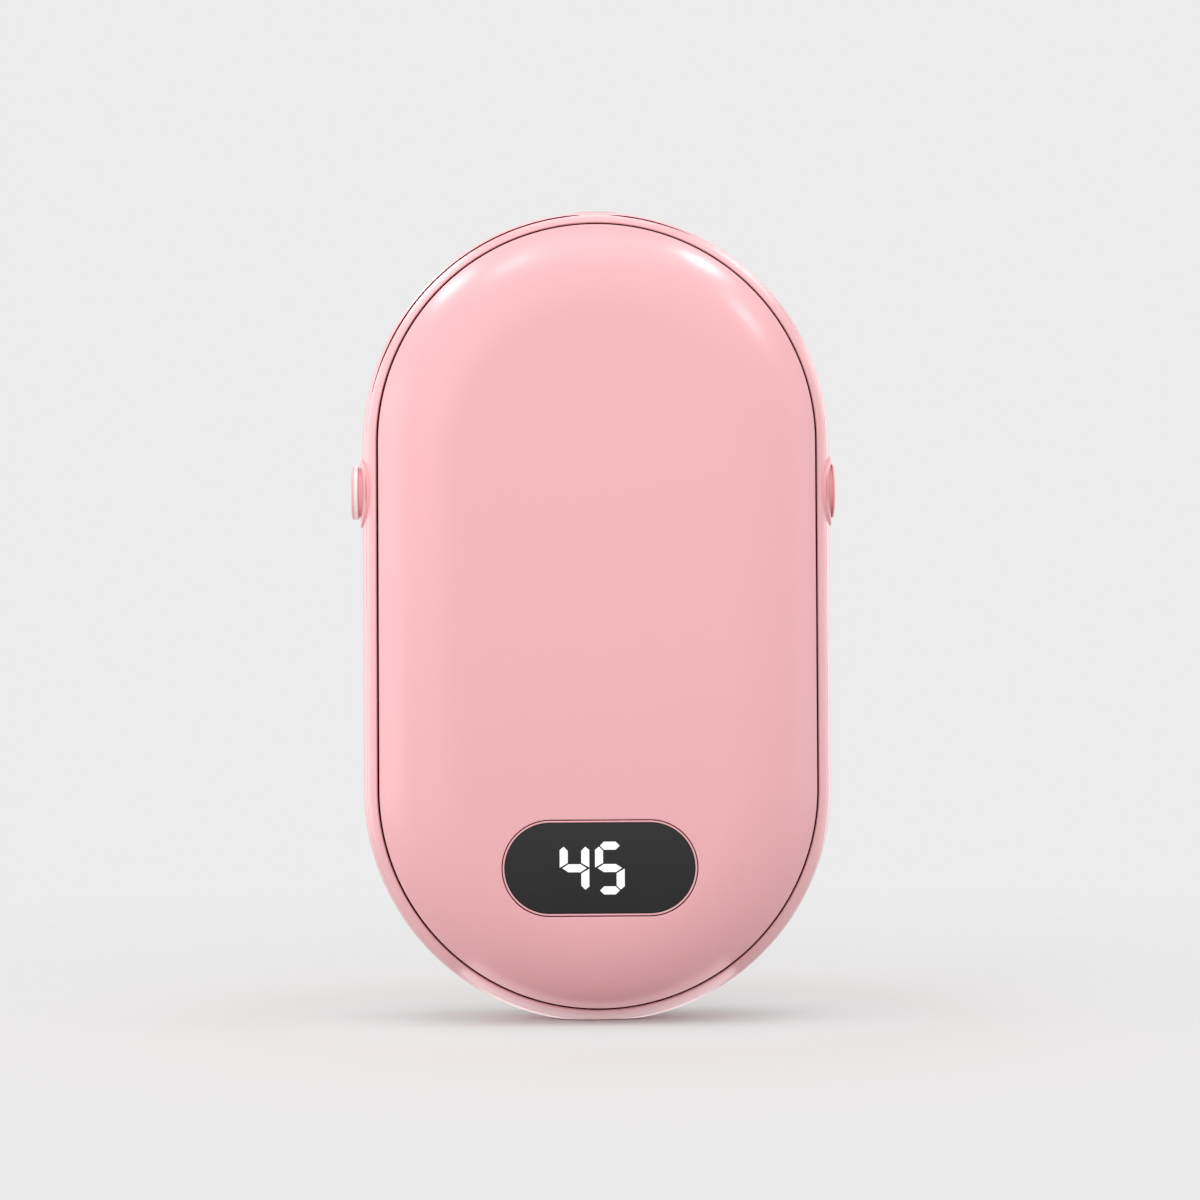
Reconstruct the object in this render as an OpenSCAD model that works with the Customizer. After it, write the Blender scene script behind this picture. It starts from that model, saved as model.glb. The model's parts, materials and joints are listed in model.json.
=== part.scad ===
// Rechargeable hand warmer: an oval pocket heater with an inset panel on each face,
// a two digit display, a push button on each side and a low power button on top.
// Millimetres. X runs from left to right, Y from the display face to the back, Z up.
// The origin is in the middle of the flat foot that the warmer stands on.

/* [Body] */
// Width of the body from side to side
body_w = 66; // [64:1:74]
// Height of the oval outline before the foot is cut flat
body_h = 114.4; // [112:0.2:128]
// Thickness of the body from face to face
body_t = 27; // [26:0.5:29]
// Radius of the rounded side, seen from above
side_r = 10; // [9:0.5:11]
// Width of the curved shoulder between the side and the flat face
shoulder_w = 15; // [14.6:0.1:15.6]
// Height of the slice cut off the bottom to make the foot
foot_cut = 0.5; // [0.4:0.1:0.7]
// Wall thickness of the two housings
wall_t = 2; // [1.8:0.1:2.2]
// Distance of the parting line in front of the middle
seam_y = 3.6; // [3.4:0.1:4]
// Width of the fine groove along the parting line
seam_groove_w = 0.35; // [0.2:0.05:0.5]
// Depth of the fine groove along the parting line
seam_groove_d = 0.6; // [0.4:0.1:0.8]

/* [Panels] */
// Distance from the side of the body to the middle of the panel gap
panel_inset = 2.35; // [2.1:0.05:2.6]
// Width of the gap between a panel and its rim
panel_gap = 0.3; // [0.2:0.05:0.4]
// Thickness of a face panel
panel_t = 1.5; // [1.3:0.1:1.6]
// Height of a panel's edge below its surface at the gap
panel_edge_h = 1.5; // [1.3:0.1:1.6]
// Thickness of the ledge that a panel is bonded to
ledge_t = 1.3; // [1.1:0.1:1.5]
// Thickness of the inner deck of a housing
deck_t = 1.3; // [1.1:0.1:1.4]

/* [Display] */
// Height of the display above the foot
display_z = 21.85; // [21.6:0.05:21.95]
// Width of the display lens
lens_w = 26.3; // [25.8:0.1:26.5]
// Height of the display lens
lens_h = 12.55; // [12.3:0.05:12.65]
// Thickness of the display lens
lens_t = 0.8; // [0.7:0.05:0.85]
// Depth of the lens below the panel's face
lens_recess = 0.15; // [0.05:0.05:0.2]
// Width of the lip of the bezel around the lens
bezel_w = 0.25; // [0.2:0.05:0.4]
// Width of the groove around the bezel
bezel_gap = 0.14; // [0.1:0.02:0.2]
// Width of the shelf in the panel that carries the bezel and the lens
shelf_w = 1.1; // [1:0.05:1.3]
// Height of a digit
digit_h = 7.24; // [7:0.02:7.6]
// Width of a digit
digit_w = 4.06; // [4:0.02:4.4]
// Distance from one digit to the next
digit_pitch = 4.86; // [4.74:0.02:5.1]
// Width of the stroke of a digit
stroke = 1.1; // [1.06:0.02:1.24]
// Gap between two strokes of a digit
stroke_gap = 0.18; // [0.1:0.02:0.2]
// Distance of the pair of digits to the left of the middle of the lens
digits_left = 1.08; // [0.5:0.02:1.3]

/* [Side buttons] */
// Distance of the side buttons below the top of the straight sides
button_drop = 6.6; // [6.2:0.2:10]
// Diameter of the collar around a side button
collar_d = 9.9; // [9.4:0.1:10.4]
// Distance that the collar stands out of the side
collar_proud = 0.45; // [0.35:0.05:0.6]
// Depth of the seat of the collar in the housing
collar_seat = 1.35; // [1.35:0.05:1.5]
// Diameter of the collar's sleeve in the wall
sleeve_d = 5.6; // [5.4:0.1:5.8]
// Distance from the side to the inner end of the sleeve
sleeve_end = 3.6; // [3.5:0.1:3.8]
// Diameter of the head of a side button
cap_d = 7.6; // [7.2:0.1:8]
// Thickness of the head of a side button
cap_t = 0.65; // [0.5:0.05:0.8]
// Radius of the rounded edges of a button or a collar
edge_r = 0.2; // [0.1:0.05:0.25]
// Gap between the head and the collar, seen from the front
cap_gap = 0.45; // [0.4:0.05:0.6]
// Diameter of the neck behind the head
neck_d = 7; // [6.8:0.1:7.1]
// Length of the neck inside the collar
neck_in = 0.4; // [0.3:0.05:0.5]
// Diameter of the stem in the sleeve
stem_d = 4.2; // [4:0.1:4.3]
// Distance that a button travels when pressed
travel = 0.35; // [0.25:0.05:0.35]
// Diameter of the snap end of the stem
barb_d = 5; // [4.8:0.1:5.2]
// Length of the snap end of the stem
barb_l = 0.85; // [0.7:0.05:1]
// Width of the slot that lets the snap end close
barb_slot = 1; // [0.8:0.1:1.2]
// Depth of the slot that lets the snap end close
barb_slot_l = 2.4; // [2:0.1:2.8]

/* [Power button] */
// Width of the power button
power_w = 6.5; // [6:0.1:7]
// Depth of the power button from front to back
power_d = 3.6; // [3.2:0.1:3.8]
// Height of the power button above the body around it
power_proud = 0.2; // [0.1:0.05:0.4]
// Gap around the power button
power_gap = 0.15; // [0.1:0.01:0.2]
// Thickness of the flange that keeps the power button in
power_flange_t = 1; // [0.8:0.1:1.2]
// Width of the flange beyond the power button all round
power_flange_w = 0.9; // [0.8:0.1:1]
// Distance from the top to the pad that stops the flange
power_pad_end = 2.95; // [2.9:0.05:3.1]

/* [Switches] */
// Height and width of a push switch
switch_w = 6; // [5.6:0.1:6.2]
// Thickness of a push switch
switch_t = 2.6; // [2.4:0.1:2.8]
// Diameter of a switch plunger
plunger_d = 2.4; // [2:0.1:2.6]
// Length of a switch plunger inside its switch
plunger_in = 1.2; // [1:0.1:1.4]
// Thickness of a switch board
switch_board_t = 1; // [0.8:0.1:1.2]
// Length of a side switch board
side_board_l = 12; // [11:0.5:13]
// Length of the power switch board
power_board_l = 11; // [10:0.5:12]
// Width of a switch board in front of the middle
switch_board_front = 3.4; // [3.2:0.1:3.6]
// Width of a switch board behind the middle
switch_board_back = 4; // [3.8:0.1:4.2]
// Width of the flat cable between the boards
flex_w = 3; // [2.4:0.2:3]
// Thickness of the flat cable between the boards
flex_t = 0.2; // [0.15:0.05:0.3]

/* [Charging socket] */
// Width of the charging socket
socket_w = 8.94; // [8.9:0.02:9]
// Thickness of the charging socket
socket_h = 3.26; // [3.2:0.02:3.3]
// Length of the charging socket
socket_l = 7.35; // [7:0.05:8]
// Thickness of the socket's steel shell
socket_wall = 0.3; // [0.25:0.05:0.35]
// Depth of the socket's mouth inside the foot
socket_recess = 0.4; // [0.2:0.1:0.8]
// Clearance of the opening around the socket
socket_clear = 0.15; // [0.1:0.05:0.16]
// Width of the tongue in the socket
tongue_w = 6.7; // [6.6:0.05:6.8]
// Thickness of the tongue in the socket
tongue_t = 0.7; // [0.65:0.05:0.75]

/* [Main board] */
// Thickness of the main board
board_t = 1.2; // [1:0.1:1.3]
// Gap between the main board's edge and the side of the body
board_margin = 4; // [3.9:0.1:4.4]
// Distance from the middle of the display to the top edge of the main board
board_above = 13; // [12.8:0.1:13.2]
// Diameter of a post that carries the main board
post_d = 4.6; // [4.2:0.1:5]
// Distance of a board post from the middle
post_x = 19; // [18.6:0.1:19.4]
// Height of a board post above the middle of the display
post_up = 0.65; // [0:0.05:1]

/* [Battery] */
// Thickness of the foam pad between a cell and a deck
pad_t = 1.8; // [1.6:0.1:2]
// Thickness of the tape between the two cells
tape_t = 0.3; // [0.2:0.05:0.4]
// Room beside the cells on each side of the body
cell_side_room = 12.4; // [12.2:0.1:12.8]
// Room above the cells for the power switch
cell_head_room = 20.6; // [20.4:0.1:21.4]
// Distance from the main board's edge to the cells
cell_foot_room = 3; // [2.8:0.1:3.2]
// Thickness of the battery protection board
guard_t = 1; // [0.8:0.1:1.2]
// Diameter of a battery lead
lead_d = 1.3; // [1.1:0.1:1.5]

/* [Heaters] */
// Thickness of the aluminium heat plate behind a panel
plate_t = 0.6; // [0.5:0.05:0.65]
// Thickness of the heater film
film_t = 0.25; // [0.2:0.05:0.3]
// Air gap between the heater film and the deck
film_gap = 0.25; // [0.2:0.05:0.3]
// Distance from the display opening to the heat plate
plate_above = 5.4; // [5:0.1:5.8]
// Width of the film's connecting tail
tail_w = 6; // [5:0.5:7]

/* [Screws] */
// Diameter of the screw columns in the housings
column_d = 5.6; // [5.4:0.1:5.8]
// Diameter of the pilot hole for a housing screw
pilot_d = 1.9; // [1.8:0.05:2]
// Depth of the pilot hole in the front housing
pilot_l = 3.7; // [3.5:0.1:3.8]
// Thickness of the web under a screw head
web_t = 4.5; // [4.2:0.1:4.8]
// Diameter of a housing screw's head
head_d = 3.8; // [3.6:0.1:3.9]
// Thickness of a screw head
head_t = 1.4; // [1.2:0.1:1.6]
// Diameter of a board screw's head
board_head_d = 3.6; // [3.4:0.1:3.6]
// Diameter of the pilot hole for a board screw
board_pilot_d = 1.7; // [1.6:0.05:1.8]

/* [Hidden] */
$fn = 72;

// Cuts run past the faces they open by this much
overrun = 1;
// Clearances for pieces that slide, seat or pass through
slide_fit = 0.05;
seat_fit = 0.03;
pass_fit = 0.3;
stop_fit = 0.05;

// Body outline
half_w = body_w/2;
half_t = body_t/2;
straight = body_h - body_w;
z_low = half_w - foot_cut;
z_high = z_low + straight;
top_z = z_high + half_w;
button_z = z_high - button_drop;
flat_r = half_w - shoulder_w;
side_c = half_w - side_r;
shoulder_r = (shoulder_w*shoulder_w - 2*shoulder_w*side_r + half_t*half_t)/(2*(half_t - side_r));
shoulder_y = shoulder_r - half_t;
join_angle = atan2(shoulder_y, side_c - flat_r);
side_steps = 8;
shoulder_steps = 12;

// Points of the side arc and of the shoulder arc of a half section, both grown outwards
function side_arc(grow) = [for (i = [-side_steps/2 : side_steps/2])
    [side_c, 0] + (side_r + grow)*[cos(2*join_angle*i/side_steps), sin(2*join_angle*i/side_steps)]];
function shoulder_arc(grow) = [for (i = [1 : shoulder_steps])
    let (a = join_angle + (90 - join_angle)*i/shoulder_steps)
    [flat_r, -shoulder_y] + (shoulder_r + grow)*[cos(a), sin(a)]];
function front_arc(grow) = [for (i = [shoulder_steps - 1 : -1 : 0])
    let (p = shoulder_arc(grow)[i]) [p[0], -p[1]]];
function half_section(grow) = concat([[0, -half_t - grow]], front_arc(grow), side_arc(grow),
    shoulder_arc(grow), [[0, half_t + grow]]);
// Distance of the shoulder's surface from the middle plane, at a distance r from the section's axis
function surface_y(r, grow) = sqrt(pow(shoulder_r + grow, 2) - pow(r - flat_r, 2)) - shoulder_y;

// Panels, ledges and decks
panel_r = half_w - panel_inset - panel_gap/2;
rim_r = half_w - panel_inset + panel_gap/2;
seat_y = surface_y(panel_r, 0) - panel_edge_h;
deck_out = panel_t + plate_t + film_t + film_gap;
deck_in = deck_out + deck_t;
deck_face_y = half_t - deck_out;
deck_inner_y = half_t - deck_in;

// Display
window_w = lens_w + 2*(bezel_w + bezel_gap);
window_h = lens_h + 2*(bezel_w + bezel_gap);
lens_front_y = half_t - lens_recess;
lens_back_y = lens_front_y - lens_t;
reflector_w = lens_w - 2*shelf_w;
reflector_h = lens_h - 2*shelf_w;
digit_x = [-digits_left - digit_pitch/2, -digits_left + digit_pitch/2];
led_l = 1.6;
led_w = 0.8;
led_t = 0.5;

// Main board, which carries the charging socket behind it
board_back_y = -socket_h/2;
board_front_y = board_back_y - board_t;
board_top_z = display_z + board_above;
board_r = half_w - board_margin;
post_z = display_z + post_up;

// Battery
pack_half_t = deck_inner_y - pad_t;
cell_t = pack_half_t - tape_t/2;
cell_w = 2*(half_w - cell_side_room);
cell_bottom = board_top_z + cell_foot_room;
cell_top = top_z - cell_head_room;
pad_fit = 0.1;
pad_margin = 3;
guard_w = cell_w - 8*guard_t;
guard_d = 7;

// Side button stack, as distances inwards from the side
barb_start = sleeve_end + stop_fit;
stem_end = barb_start + barb_l;
switch_face = stem_end + travel + 3*slide_fit;
switch_back = switch_face + switch_t;
board_inner = switch_back + switch_board_t;
bore_extra = 0.6;

// Power button stack, as distances down from the top
power_flange_top = power_pad_end + stop_fit;
power_end = power_flange_top + power_flange_t;
power_switch_face = power_end + travel + 3*slide_fit;
power_switch_back = power_switch_face + switch_t;
power_board_under = power_switch_back + switch_board_t;

// Slotted blocks that hold the switch boards
block_l = 8;
block_wall = 1.5;
slot_d = 1;

// Flat cables
flex_side_gap = 0.6;
flex_patch = 3;
flex_link = 0.4;
flex_lane = cell_w/2 + flex_side_gap;
flex_start_z = button_z - side_board_l/2;
power_flex_r = half_w - 6.6;

// Heaters
plate_r = flat_r - 0.5;
plate_bottom = display_z + window_h/2 + plate_above;
film_margin = 1;
film_r = plate_r - film_margin;
plate_back_y = half_t - panel_t - plate_t;
film_back_y = plate_back_y - film_t;
tail_z = board_top_z + 0.3;
thermistor_d = 2.4;
thermistor_z = cell_top + 2.5;

// Screws
screw_fit = 0.02;
column_low = [half_w - 7, cell_bottom + 1];
column_high = [9.5, cell_top + 7.5];
columns = [for (p = [column_low, column_high], s = [-1, 1]) [s*p[0], p[1]]];
head_seat_y = -seam_y + web_t;
shank_gap = 0.3;

// Outlines and solids that several pieces share

// A half section of the body, grown outwards
module section(grow) {
    polygon(half_section(grow));
}

// Part of a section between two distances from the axis and two places along Y
module band(r0, r1, y0, y1) {
    translate([r0, y0]) square([r1 - r0, y1 - y0]);
}

// Sweeps a half section around the upright oval outline
module around_body() {
    for (end = [0, 1])
        translate([0, 0, end == 0 ? z_low : z_high])
            rotate([-90, 0, 0])
                rotate([0, 0, 180*end])
                    rotate_extrude(angle = 180) children();
    translate([0, 0, z_low])
        linear_extrude(height = straight)
            for (s = [0, 1]) mirror([s, 0]) children();
}

// A flat outline in X and Z, extruded from y0 to y1
module along_y(y0, y1) {
    translate([0, y1, 0])
        rotate([90, 0, 0])
            linear_extrude(height = y1 - y0) children();
}

// An oval with round ends, w wide and h high
module pill(w, h) {
    square([w - h, h], center = true);
    for (s = [-1, 1]) translate([s*(w - h)/2, 0]) circle(d = h);
}

// An upright oval with round ends, from z0 to z1
module tall_pill(r, z0, z1) {
    translate([-r, z0 + r]) square([2*r, z1 - z0 - 2*r]);
    for (z = [z0 + r, z1 - r]) translate([0, z]) circle(r = r);
}

// A round disc from h0 to h1 along X with a rounded outer edge at its far end
module button_disc(d, h0, h1) {
    translate([h0, 0, 0])
        rotate([0, 90, 0])
            rotate_extrude() {
                square([d/2 - edge_r, h1 - h0]);
                square([d/2, h1 - h0 - edge_r]);
                translate([d/2 - edge_r, h1 - h0 - edge_r]) circle(r = edge_r);
            }
}

// A rod from h0 to h1 along X
module rod_x(d, h0, h1) {
    translate([h0, 0, 0]) rotate([0, 90, 0]) cylinder(d = d, h = h1 - h0);
}

// A rod from y0 to y1 along Y
module rod_y(d, y0, y1) {
    translate([0, y0, 0]) rotate([-90, 0, 0]) cylinder(d = d, h = y1 - y0);
}

// A box from corner a to corner b
module block(a, b) {
    translate(a) cube(b - a);
}

// Places a piece modelled about the right side button on the side s, 1 for right and -1 for left
module on_side(s) {
    mirror([s < 0 ? 1 : 0, 0, 0]) translate([half_w, 0, button_z]) children();
}

// Face panels, which are bonded to the ledges of the housings

module panel_shell() {
    around_body()
        intersection() {
            difference() {
                section(0);
                section(-panel_t);
            }
            band(0, panel_r, -half_t - overrun, -seat_y);
        }
}

module front_panel() {
    color("pink")
        difference() {
            panel_shell();
            translate([0, 0, display_z]) {
                along_y(-half_t - overrun, -lens_back_y) pill(window_w, window_h);
                along_y(-half_t - overrun, -half_t + panel_t + overrun)
                    pill(reflector_w + 2*pass_fit, reflector_h + 2*pass_fit);
            }
        }
}

module back_panel() {
    color("pink") mirror([0, 1, 0]) panel_shell();
}

// Section of a housing in front of the middle: wall, lip, ledge and deck
module housing_section(wall_y) {
    intersection() {
        difference() {
            section(0);
            section(-wall_t);
        }
        band(0, half_w + overrun, -seat_y, wall_y);
    }
    intersection() {
        section(0);
        band(rim_r, half_w + overrun, -surface_y(rim_r, 0) - overrun, -seat_y + ledge_t/2);
    }
    intersection() {
        difference() {
            section(0);
            section(-deck_in);
        }
        band(0, half_w + overrun, -seat_y, -seat_y + ledge_t);
    }
    intersection() {
        difference() {
            section(-deck_out);
            section(-deck_in);
        }
        band(0, half_w, -half_t, -seat_y + ledge_t);
    }
}

// The ring that the seam groove takes off the outside between two places along Y
module seam_ring(y0, y1) {
    around_body()
        difference() {
            band(half_w/2, half_w + overrun, y0, y1);
            section(-seam_groove_d);
        }
}

// Everything below the foot
module foot_slice() {
    block([-half_w, -half_t, -foot_cut - overrun], [half_w, half_t, 0]);
}

// Room for a collar and its sleeve in both sides, on the axis of the buttons
module collar_holes() {
    for (s = [-1, 1]) on_side(s) {
        rod_x(collar_d + 2*slide_fit, -collar_seat, overrun);
        rod_x(sleeve_d + 2*slide_fit, -sleeve_end - overrun, 0);
    }
}

// Pads inside both sides that thicken the wall behind the collars
module collar_pads() {
    pad_d = collar_d + 2*wall_t;
    intersection() {
        for (s = [-1, 1]) on_side(s) rod_x(pad_d, -sleeve_end + 4*slide_fit, -collar_seat/2);
        around_body() section(-wall_t/2);
    }
}

// Limits a housing's inner pieces to the space inside its deck and to its own side of the seam
module inside_housing(y0, y1) {
    intersection() {
        children();
        around_body() section(-(deck_out + deck_t/2));
        block([-half_w, y0, -overrun], [half_w, y1, top_z]);
    }
}

module front_housing() {
    color("lightpink")
        difference() {
            union() {
                around_body() housing_section(-seam_y);
                inside_housing(-half_t, -seam_y)
                    for (p = columns) translate([p[0], 0, p[1]]) rod_y(column_d, -half_t, 0);
                inside_housing(-half_t, board_front_y)
                    for (s = [-1, 1]) translate([s*post_x, 0, post_z]) rod_y(post_d, -half_t, 0);
                intersection() {
                    collar_pads();
                    block([-half_w, -half_t, 0], [half_w, -seam_y, top_z]);
                }
            }
            seam_ring(-seam_y - seam_groove_w/2, -seam_y + overrun);
            collar_holes();
            foot_slice();
            for (p = columns) translate([p[0], 0, p[1]]) rod_y(pilot_d, -seam_y - pilot_l, 0);
            for (s = [-1, 1])
                translate([s*post_x, 0, post_z]) rod_y(board_pilot_d, board_front_y - pilot_l, 0);
            translate([0, 0, display_z])
                along_y(-half_t, -deck_inner_y + overrun)
                    pill(reflector_w + 2*pass_fit, reflector_h + 2*pass_fit);
            deck_openings();
        }
}

// Openings of a front deck for the heater film's tail and the thermistor
module deck_openings() {
    block([-tail_w/2 - pass_fit, -half_t, tail_z - pass_fit],
          [tail_w/2 + pass_fit, -deck_inner_y + overrun, tail_z + film_t + pass_fit]);
    translate([0, 0, thermistor_z]) rod_y(thermistor_d + 2*pass_fit, -half_t, -deck_inner_y + overrun);
}

module back_housing() {
    color("lightpink")
        difference() {
            union() {
                mirror([0, 1, 0]) around_body() housing_section(seam_y);
                inside_housing(-seam_y, half_t)
                    for (p = columns) translate([p[0], 0, p[1]]) rod_y(column_d, -half_t, half_t);
                inside_housing(-seam_y, half_t) board_blocks();
                intersection() {
                    collar_pads();
                    block([-half_w, -seam_y, 0], [half_w, half_t, top_z]);
                }
                power_pad();
            }
            seam_ring(-seam_y - overrun, -seam_y + seam_groove_w/2);
            collar_holes();
            foot_slice();
            for (p = columns) translate([p[0], 0, p[1]]) {
                rod_y(pilot_d + 2*shank_gap, -seam_y - overrun, head_seat_y + overrun);
                rod_y(head_d + 2*shank_gap, head_seat_y, half_t);
            }
            board_slots();
            translate([0, 0, -overrun])
                linear_extrude(height = wall_t + 2*overrun)
                    pill(socket_w + 2*socket_clear, socket_h + 2*socket_clear);
            translate([0, 0, top_z - power_flange_top])
                linear_extrude(height = power_flange_top + overrun)
                    pill(power_w + 2*power_gap, power_d + 2*power_gap);
            mirror([0, 1, 0]) deck_openings();
        }
}

// Flat pad under the top wall, which stops the power button's flange
module power_pad() {
    pad_w = power_w + 2*(power_flange_w + power_gap);
    pad_d = power_d + 2*(power_flange_w + power_gap);
    intersection() {
        translate([0, 0, top_z - power_pad_end]) linear_extrude(height = power_pad_end) pill(pad_w, pad_d);
        around_body() section(-wall_t/2);
    }
}

// Blocks behind the three switch boards
module board_blocks() {
    y0 = switch_board_back - slot_d;
    for (s = [-1, 1]) on_side(s)
        block([-board_inner - block_wall, y0, -block_l/2], [-switch_back + block_wall, half_t, block_l/2]);
    translate([0, 0, top_z])
        block([-block_l/2, y0, -power_board_under - block_wall],
              [block_l/2, half_t, -power_switch_back + block_wall]);
}

// Slots in those blocks
module board_slots() {
    y0 = switch_board_back - slot_d - overrun;
    for (s = [-1, 1]) on_side(s)
        block([-board_inner - slide_fit, y0, -block_l/2 - overrun],
              [-switch_back + slide_fit, switch_board_back + slide_fit, block_l/2 + overrun]);
    translate([0, 0, top_z])
        block([-block_l/2 - overrun, y0, -power_board_under - slide_fit],
              [block_l/2 + overrun, switch_board_back + slide_fit, -power_switch_back + slide_fit]);
}

// Display

// Half lengths of the strokes of a digit
bar_half = digit_w/2 - stroke/2 - stroke_gap/sqrt(2);
mid_slant = 0.75*stroke;
mid_half = digit_w/2 - stroke/3;

// A level stroke about the origin, with ends that slant over a length of slant
module level_stroke(half_l, slant) {
    h = stroke/2;
    polygon([[-half_l, 0], [slant - half_l, h], [half_l - slant, h],
             [half_l, 0], [half_l - slant, -h], [slant - half_l, -h]]);
}

// The upper right stroke of a digit, about the digit's middle
module upright_stroke() {
    w = digit_w/2;
    h = digit_h/2;
    polygon([[w, stroke_gap/2], [w, h - stroke], [w - stroke/2, h - stroke/2 - stroke_gap/sqrt(2)],
             [w - stroke, h - stroke - stroke_gap/sqrt(2)], [w - stroke, stroke/2 + stroke_gap]]);
}

// One named stroke of a digit, a to g clockwise from the top with g in the middle
module stroke_shape(name) {
    if (name == "a") translate([0, (digit_h - stroke)/2]) level_stroke(bar_half, stroke/2);
    if (name == "b") upright_stroke();
    if (name == "c") mirror([0, 1]) upright_stroke();
    if (name == "d") translate([0, (stroke - digit_h)/2]) level_stroke(bar_half, stroke/2);
    if (name == "e") rotate(180) upright_stroke();
    if (name == "f") mirror([1, 0]) upright_stroke();
    if (name == "g") level_stroke(mid_half, mid_slant);
}

// Strokes lit on the two digits, which show a temperature
lit = ["bcfg", "acdfg"];
all_strokes = "abcdefg";

module strokes(names_of_digits) {
    for (i = [0, 1], name = names_of_digits[i])
        translate([digit_x[i], display_z]) stroke_shape(name);
}

module display_bezel() {
    color("pink")
        translate([0, 0, display_z])
            along_y(-half_t, -lens_back_y)
                difference() {
                    pill(lens_w + 2*bezel_w, lens_h + 2*bezel_w);
                    pill(lens_w, lens_h);
                }
}

module display_lens() {
    color("dimgray")
        difference() {
            translate([0, 0, display_z])
                along_y(-lens_front_y, -lens_back_y) pill(lens_w - 2*seat_fit, lens_h - 2*seat_fit);
            along_y(-lens_front_y - overrun, -lens_back_y + overrun) strokes(lit);
        }
}

module digit_segments() {
    color("white") along_y(-lens_front_y, -lens_back_y) strokes(lit);
}

module display_reflector() {
    color("whitesmoke")
        difference() {
            translate([0, 0, display_z])
                along_y(-lens_back_y, board_front_y) pill(reflector_w, reflector_h);
            along_y(-lens_back_y - overrun, board_front_y + overrun) strokes([all_strokes, all_strokes]);
        }
}

// Middle of each stroke from the middle of its digit, and 1 where it stands upright
function stroke_places() = let (x = (digit_w - stroke)/2, z = digit_h/4 - stroke/6, top = (digit_h - stroke)/2)
    [[0, top, 0], [x, z, 1], [x, -z, 1], [0, -top, 0], [-x, -z, 1], [-x, z, 1], [0, 0, 0]];

module segment_leds() {
    color("lightyellow")
        for (dx = digit_x, p = stroke_places())
            translate([dx + p[0], board_front_y - led_t/2, display_z + p[1]])
                cube(p[2] == 1 ? [led_w, led_t, led_l] : [led_l, led_t, led_w], center = true);
}

// Side buttons

module collar() {
    color("pink")
        difference() {
            union() {
                button_disc(collar_d, -collar_seat, collar_proud);
                rod_x(sleeve_d, -sleeve_end, -collar_seat + slide_fit);
            }
            rod_x(neck_d + 4*slide_fit, collar_proud - neck_in - cap_gap, collar_proud + overrun);
            rod_x(stem_d + 2*slide_fit, -sleeve_end - overrun, collar_proud);
        }
}

module side_button() {
    head = collar_proud + cap_gap;
    color("pink")
        difference() {
            union() {
                button_disc(cap_d, head, head + cap_t);
                rod_x(neck_d, collar_proud - neck_in, head + slide_fit);
                rod_x(stem_d, -barb_start - slide_fit, collar_proud);
                rod_x(barb_d, -stem_end, -barb_start);
            }
            block([-stem_end - overrun, -barb_slot/2, -barb_d], [-stem_end + barb_slot_l, barb_slot/2, barb_d]);
        }
}

module plunger() {
    color("black") rod_x(plunger_d, -switch_face - plunger_in, -stem_end);
}

module push_switch() {
    color("gray")
        difference() {
            block([-switch_back, -switch_w/2, -switch_w/2], [-switch_face, switch_w/2, switch_w/2]);
            rod_x(plunger_d + 2*slide_fit, -switch_face - plunger_in - bore_extra, -switch_face + overrun);
        }
}

module side_switch_board() {
    color("seagreen")
        block([-board_inner, -switch_board_front, -side_board_l/2],
              [-switch_back, switch_board_back, side_board_l/2]);
}

module left_collar() { on_side(-1) collar(); }
module right_collar() { on_side(1) collar(); }
module left_button() { on_side(-1) side_button(); }
module right_button() { on_side(1) side_button(); }
module left_plunger() { on_side(-1) plunger(); }
module right_plunger() { on_side(1) plunger(); }
module left_switch() { on_side(-1) push_switch(); }
module right_switch() { on_side(1) push_switch(); }
module left_switch_board() { on_side(-1) side_switch_board(); }
module right_switch_board() { on_side(1) side_switch_board(); }

// Power button

module power_button() {
    color("palevioletred") {
        intersection() {
            translate([0, 0, top_z - power_flange_top])
                linear_extrude(height = power_flange_top + overrun) pill(power_w, power_d);
            around_body() section(power_proud);
        }
        translate([0, 0, top_z - power_end])
            linear_extrude(height = power_flange_t)
                pill(power_w + 2*power_flange_w, power_d + 2*power_flange_w);
    }
}

module power_plunger() {
    color("black")
        translate([0, 0, top_z - power_switch_face - plunger_in])
            cylinder(d = plunger_d, h = power_switch_face + plunger_in - power_end);
}

module power_switch() {
    depth = plunger_in + bore_extra;
    color("gray")
        translate([0, 0, top_z - power_switch_back])
            difference() {
                block([-switch_w/2, -switch_w/2, 0], [switch_w/2, switch_w/2, switch_t]);
                translate([0, 0, switch_t - depth])
                    cylinder(d = plunger_d + 2*slide_fit, h = depth + overrun);
            }
}

module power_switch_board() {
    color("seagreen")
        translate([0, 0, top_z])
            block([-power_board_l/2, -switch_board_front, -power_board_under],
                  [power_board_l/2, switch_board_back, -power_switch_back]);
}

// Flat cables from the switch boards to the main board and from the power switch to the left one

module side_flex() {
    x0 = half_w - board_inner;
    z1 = flex_start_z + flex_patch;
    color("orange") {
        block([x0 - flex_t, -flex_w/2, flex_start_z], [x0, flex_w/2, z1]);
        block([flex_lane, -flex_w/2, flex_start_z], [x0, flex_w/2, flex_start_z + flex_t]);
        block([flex_lane, -flex_w/2, board_top_z + flex_link],
              [flex_lane + flex_t, flex_w/2, flex_start_z + flex_t]);
    }
}

module right_flex() { side_flex(); }
module left_flex() { mirror([1, 0, 0]) side_flex(); }

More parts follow.
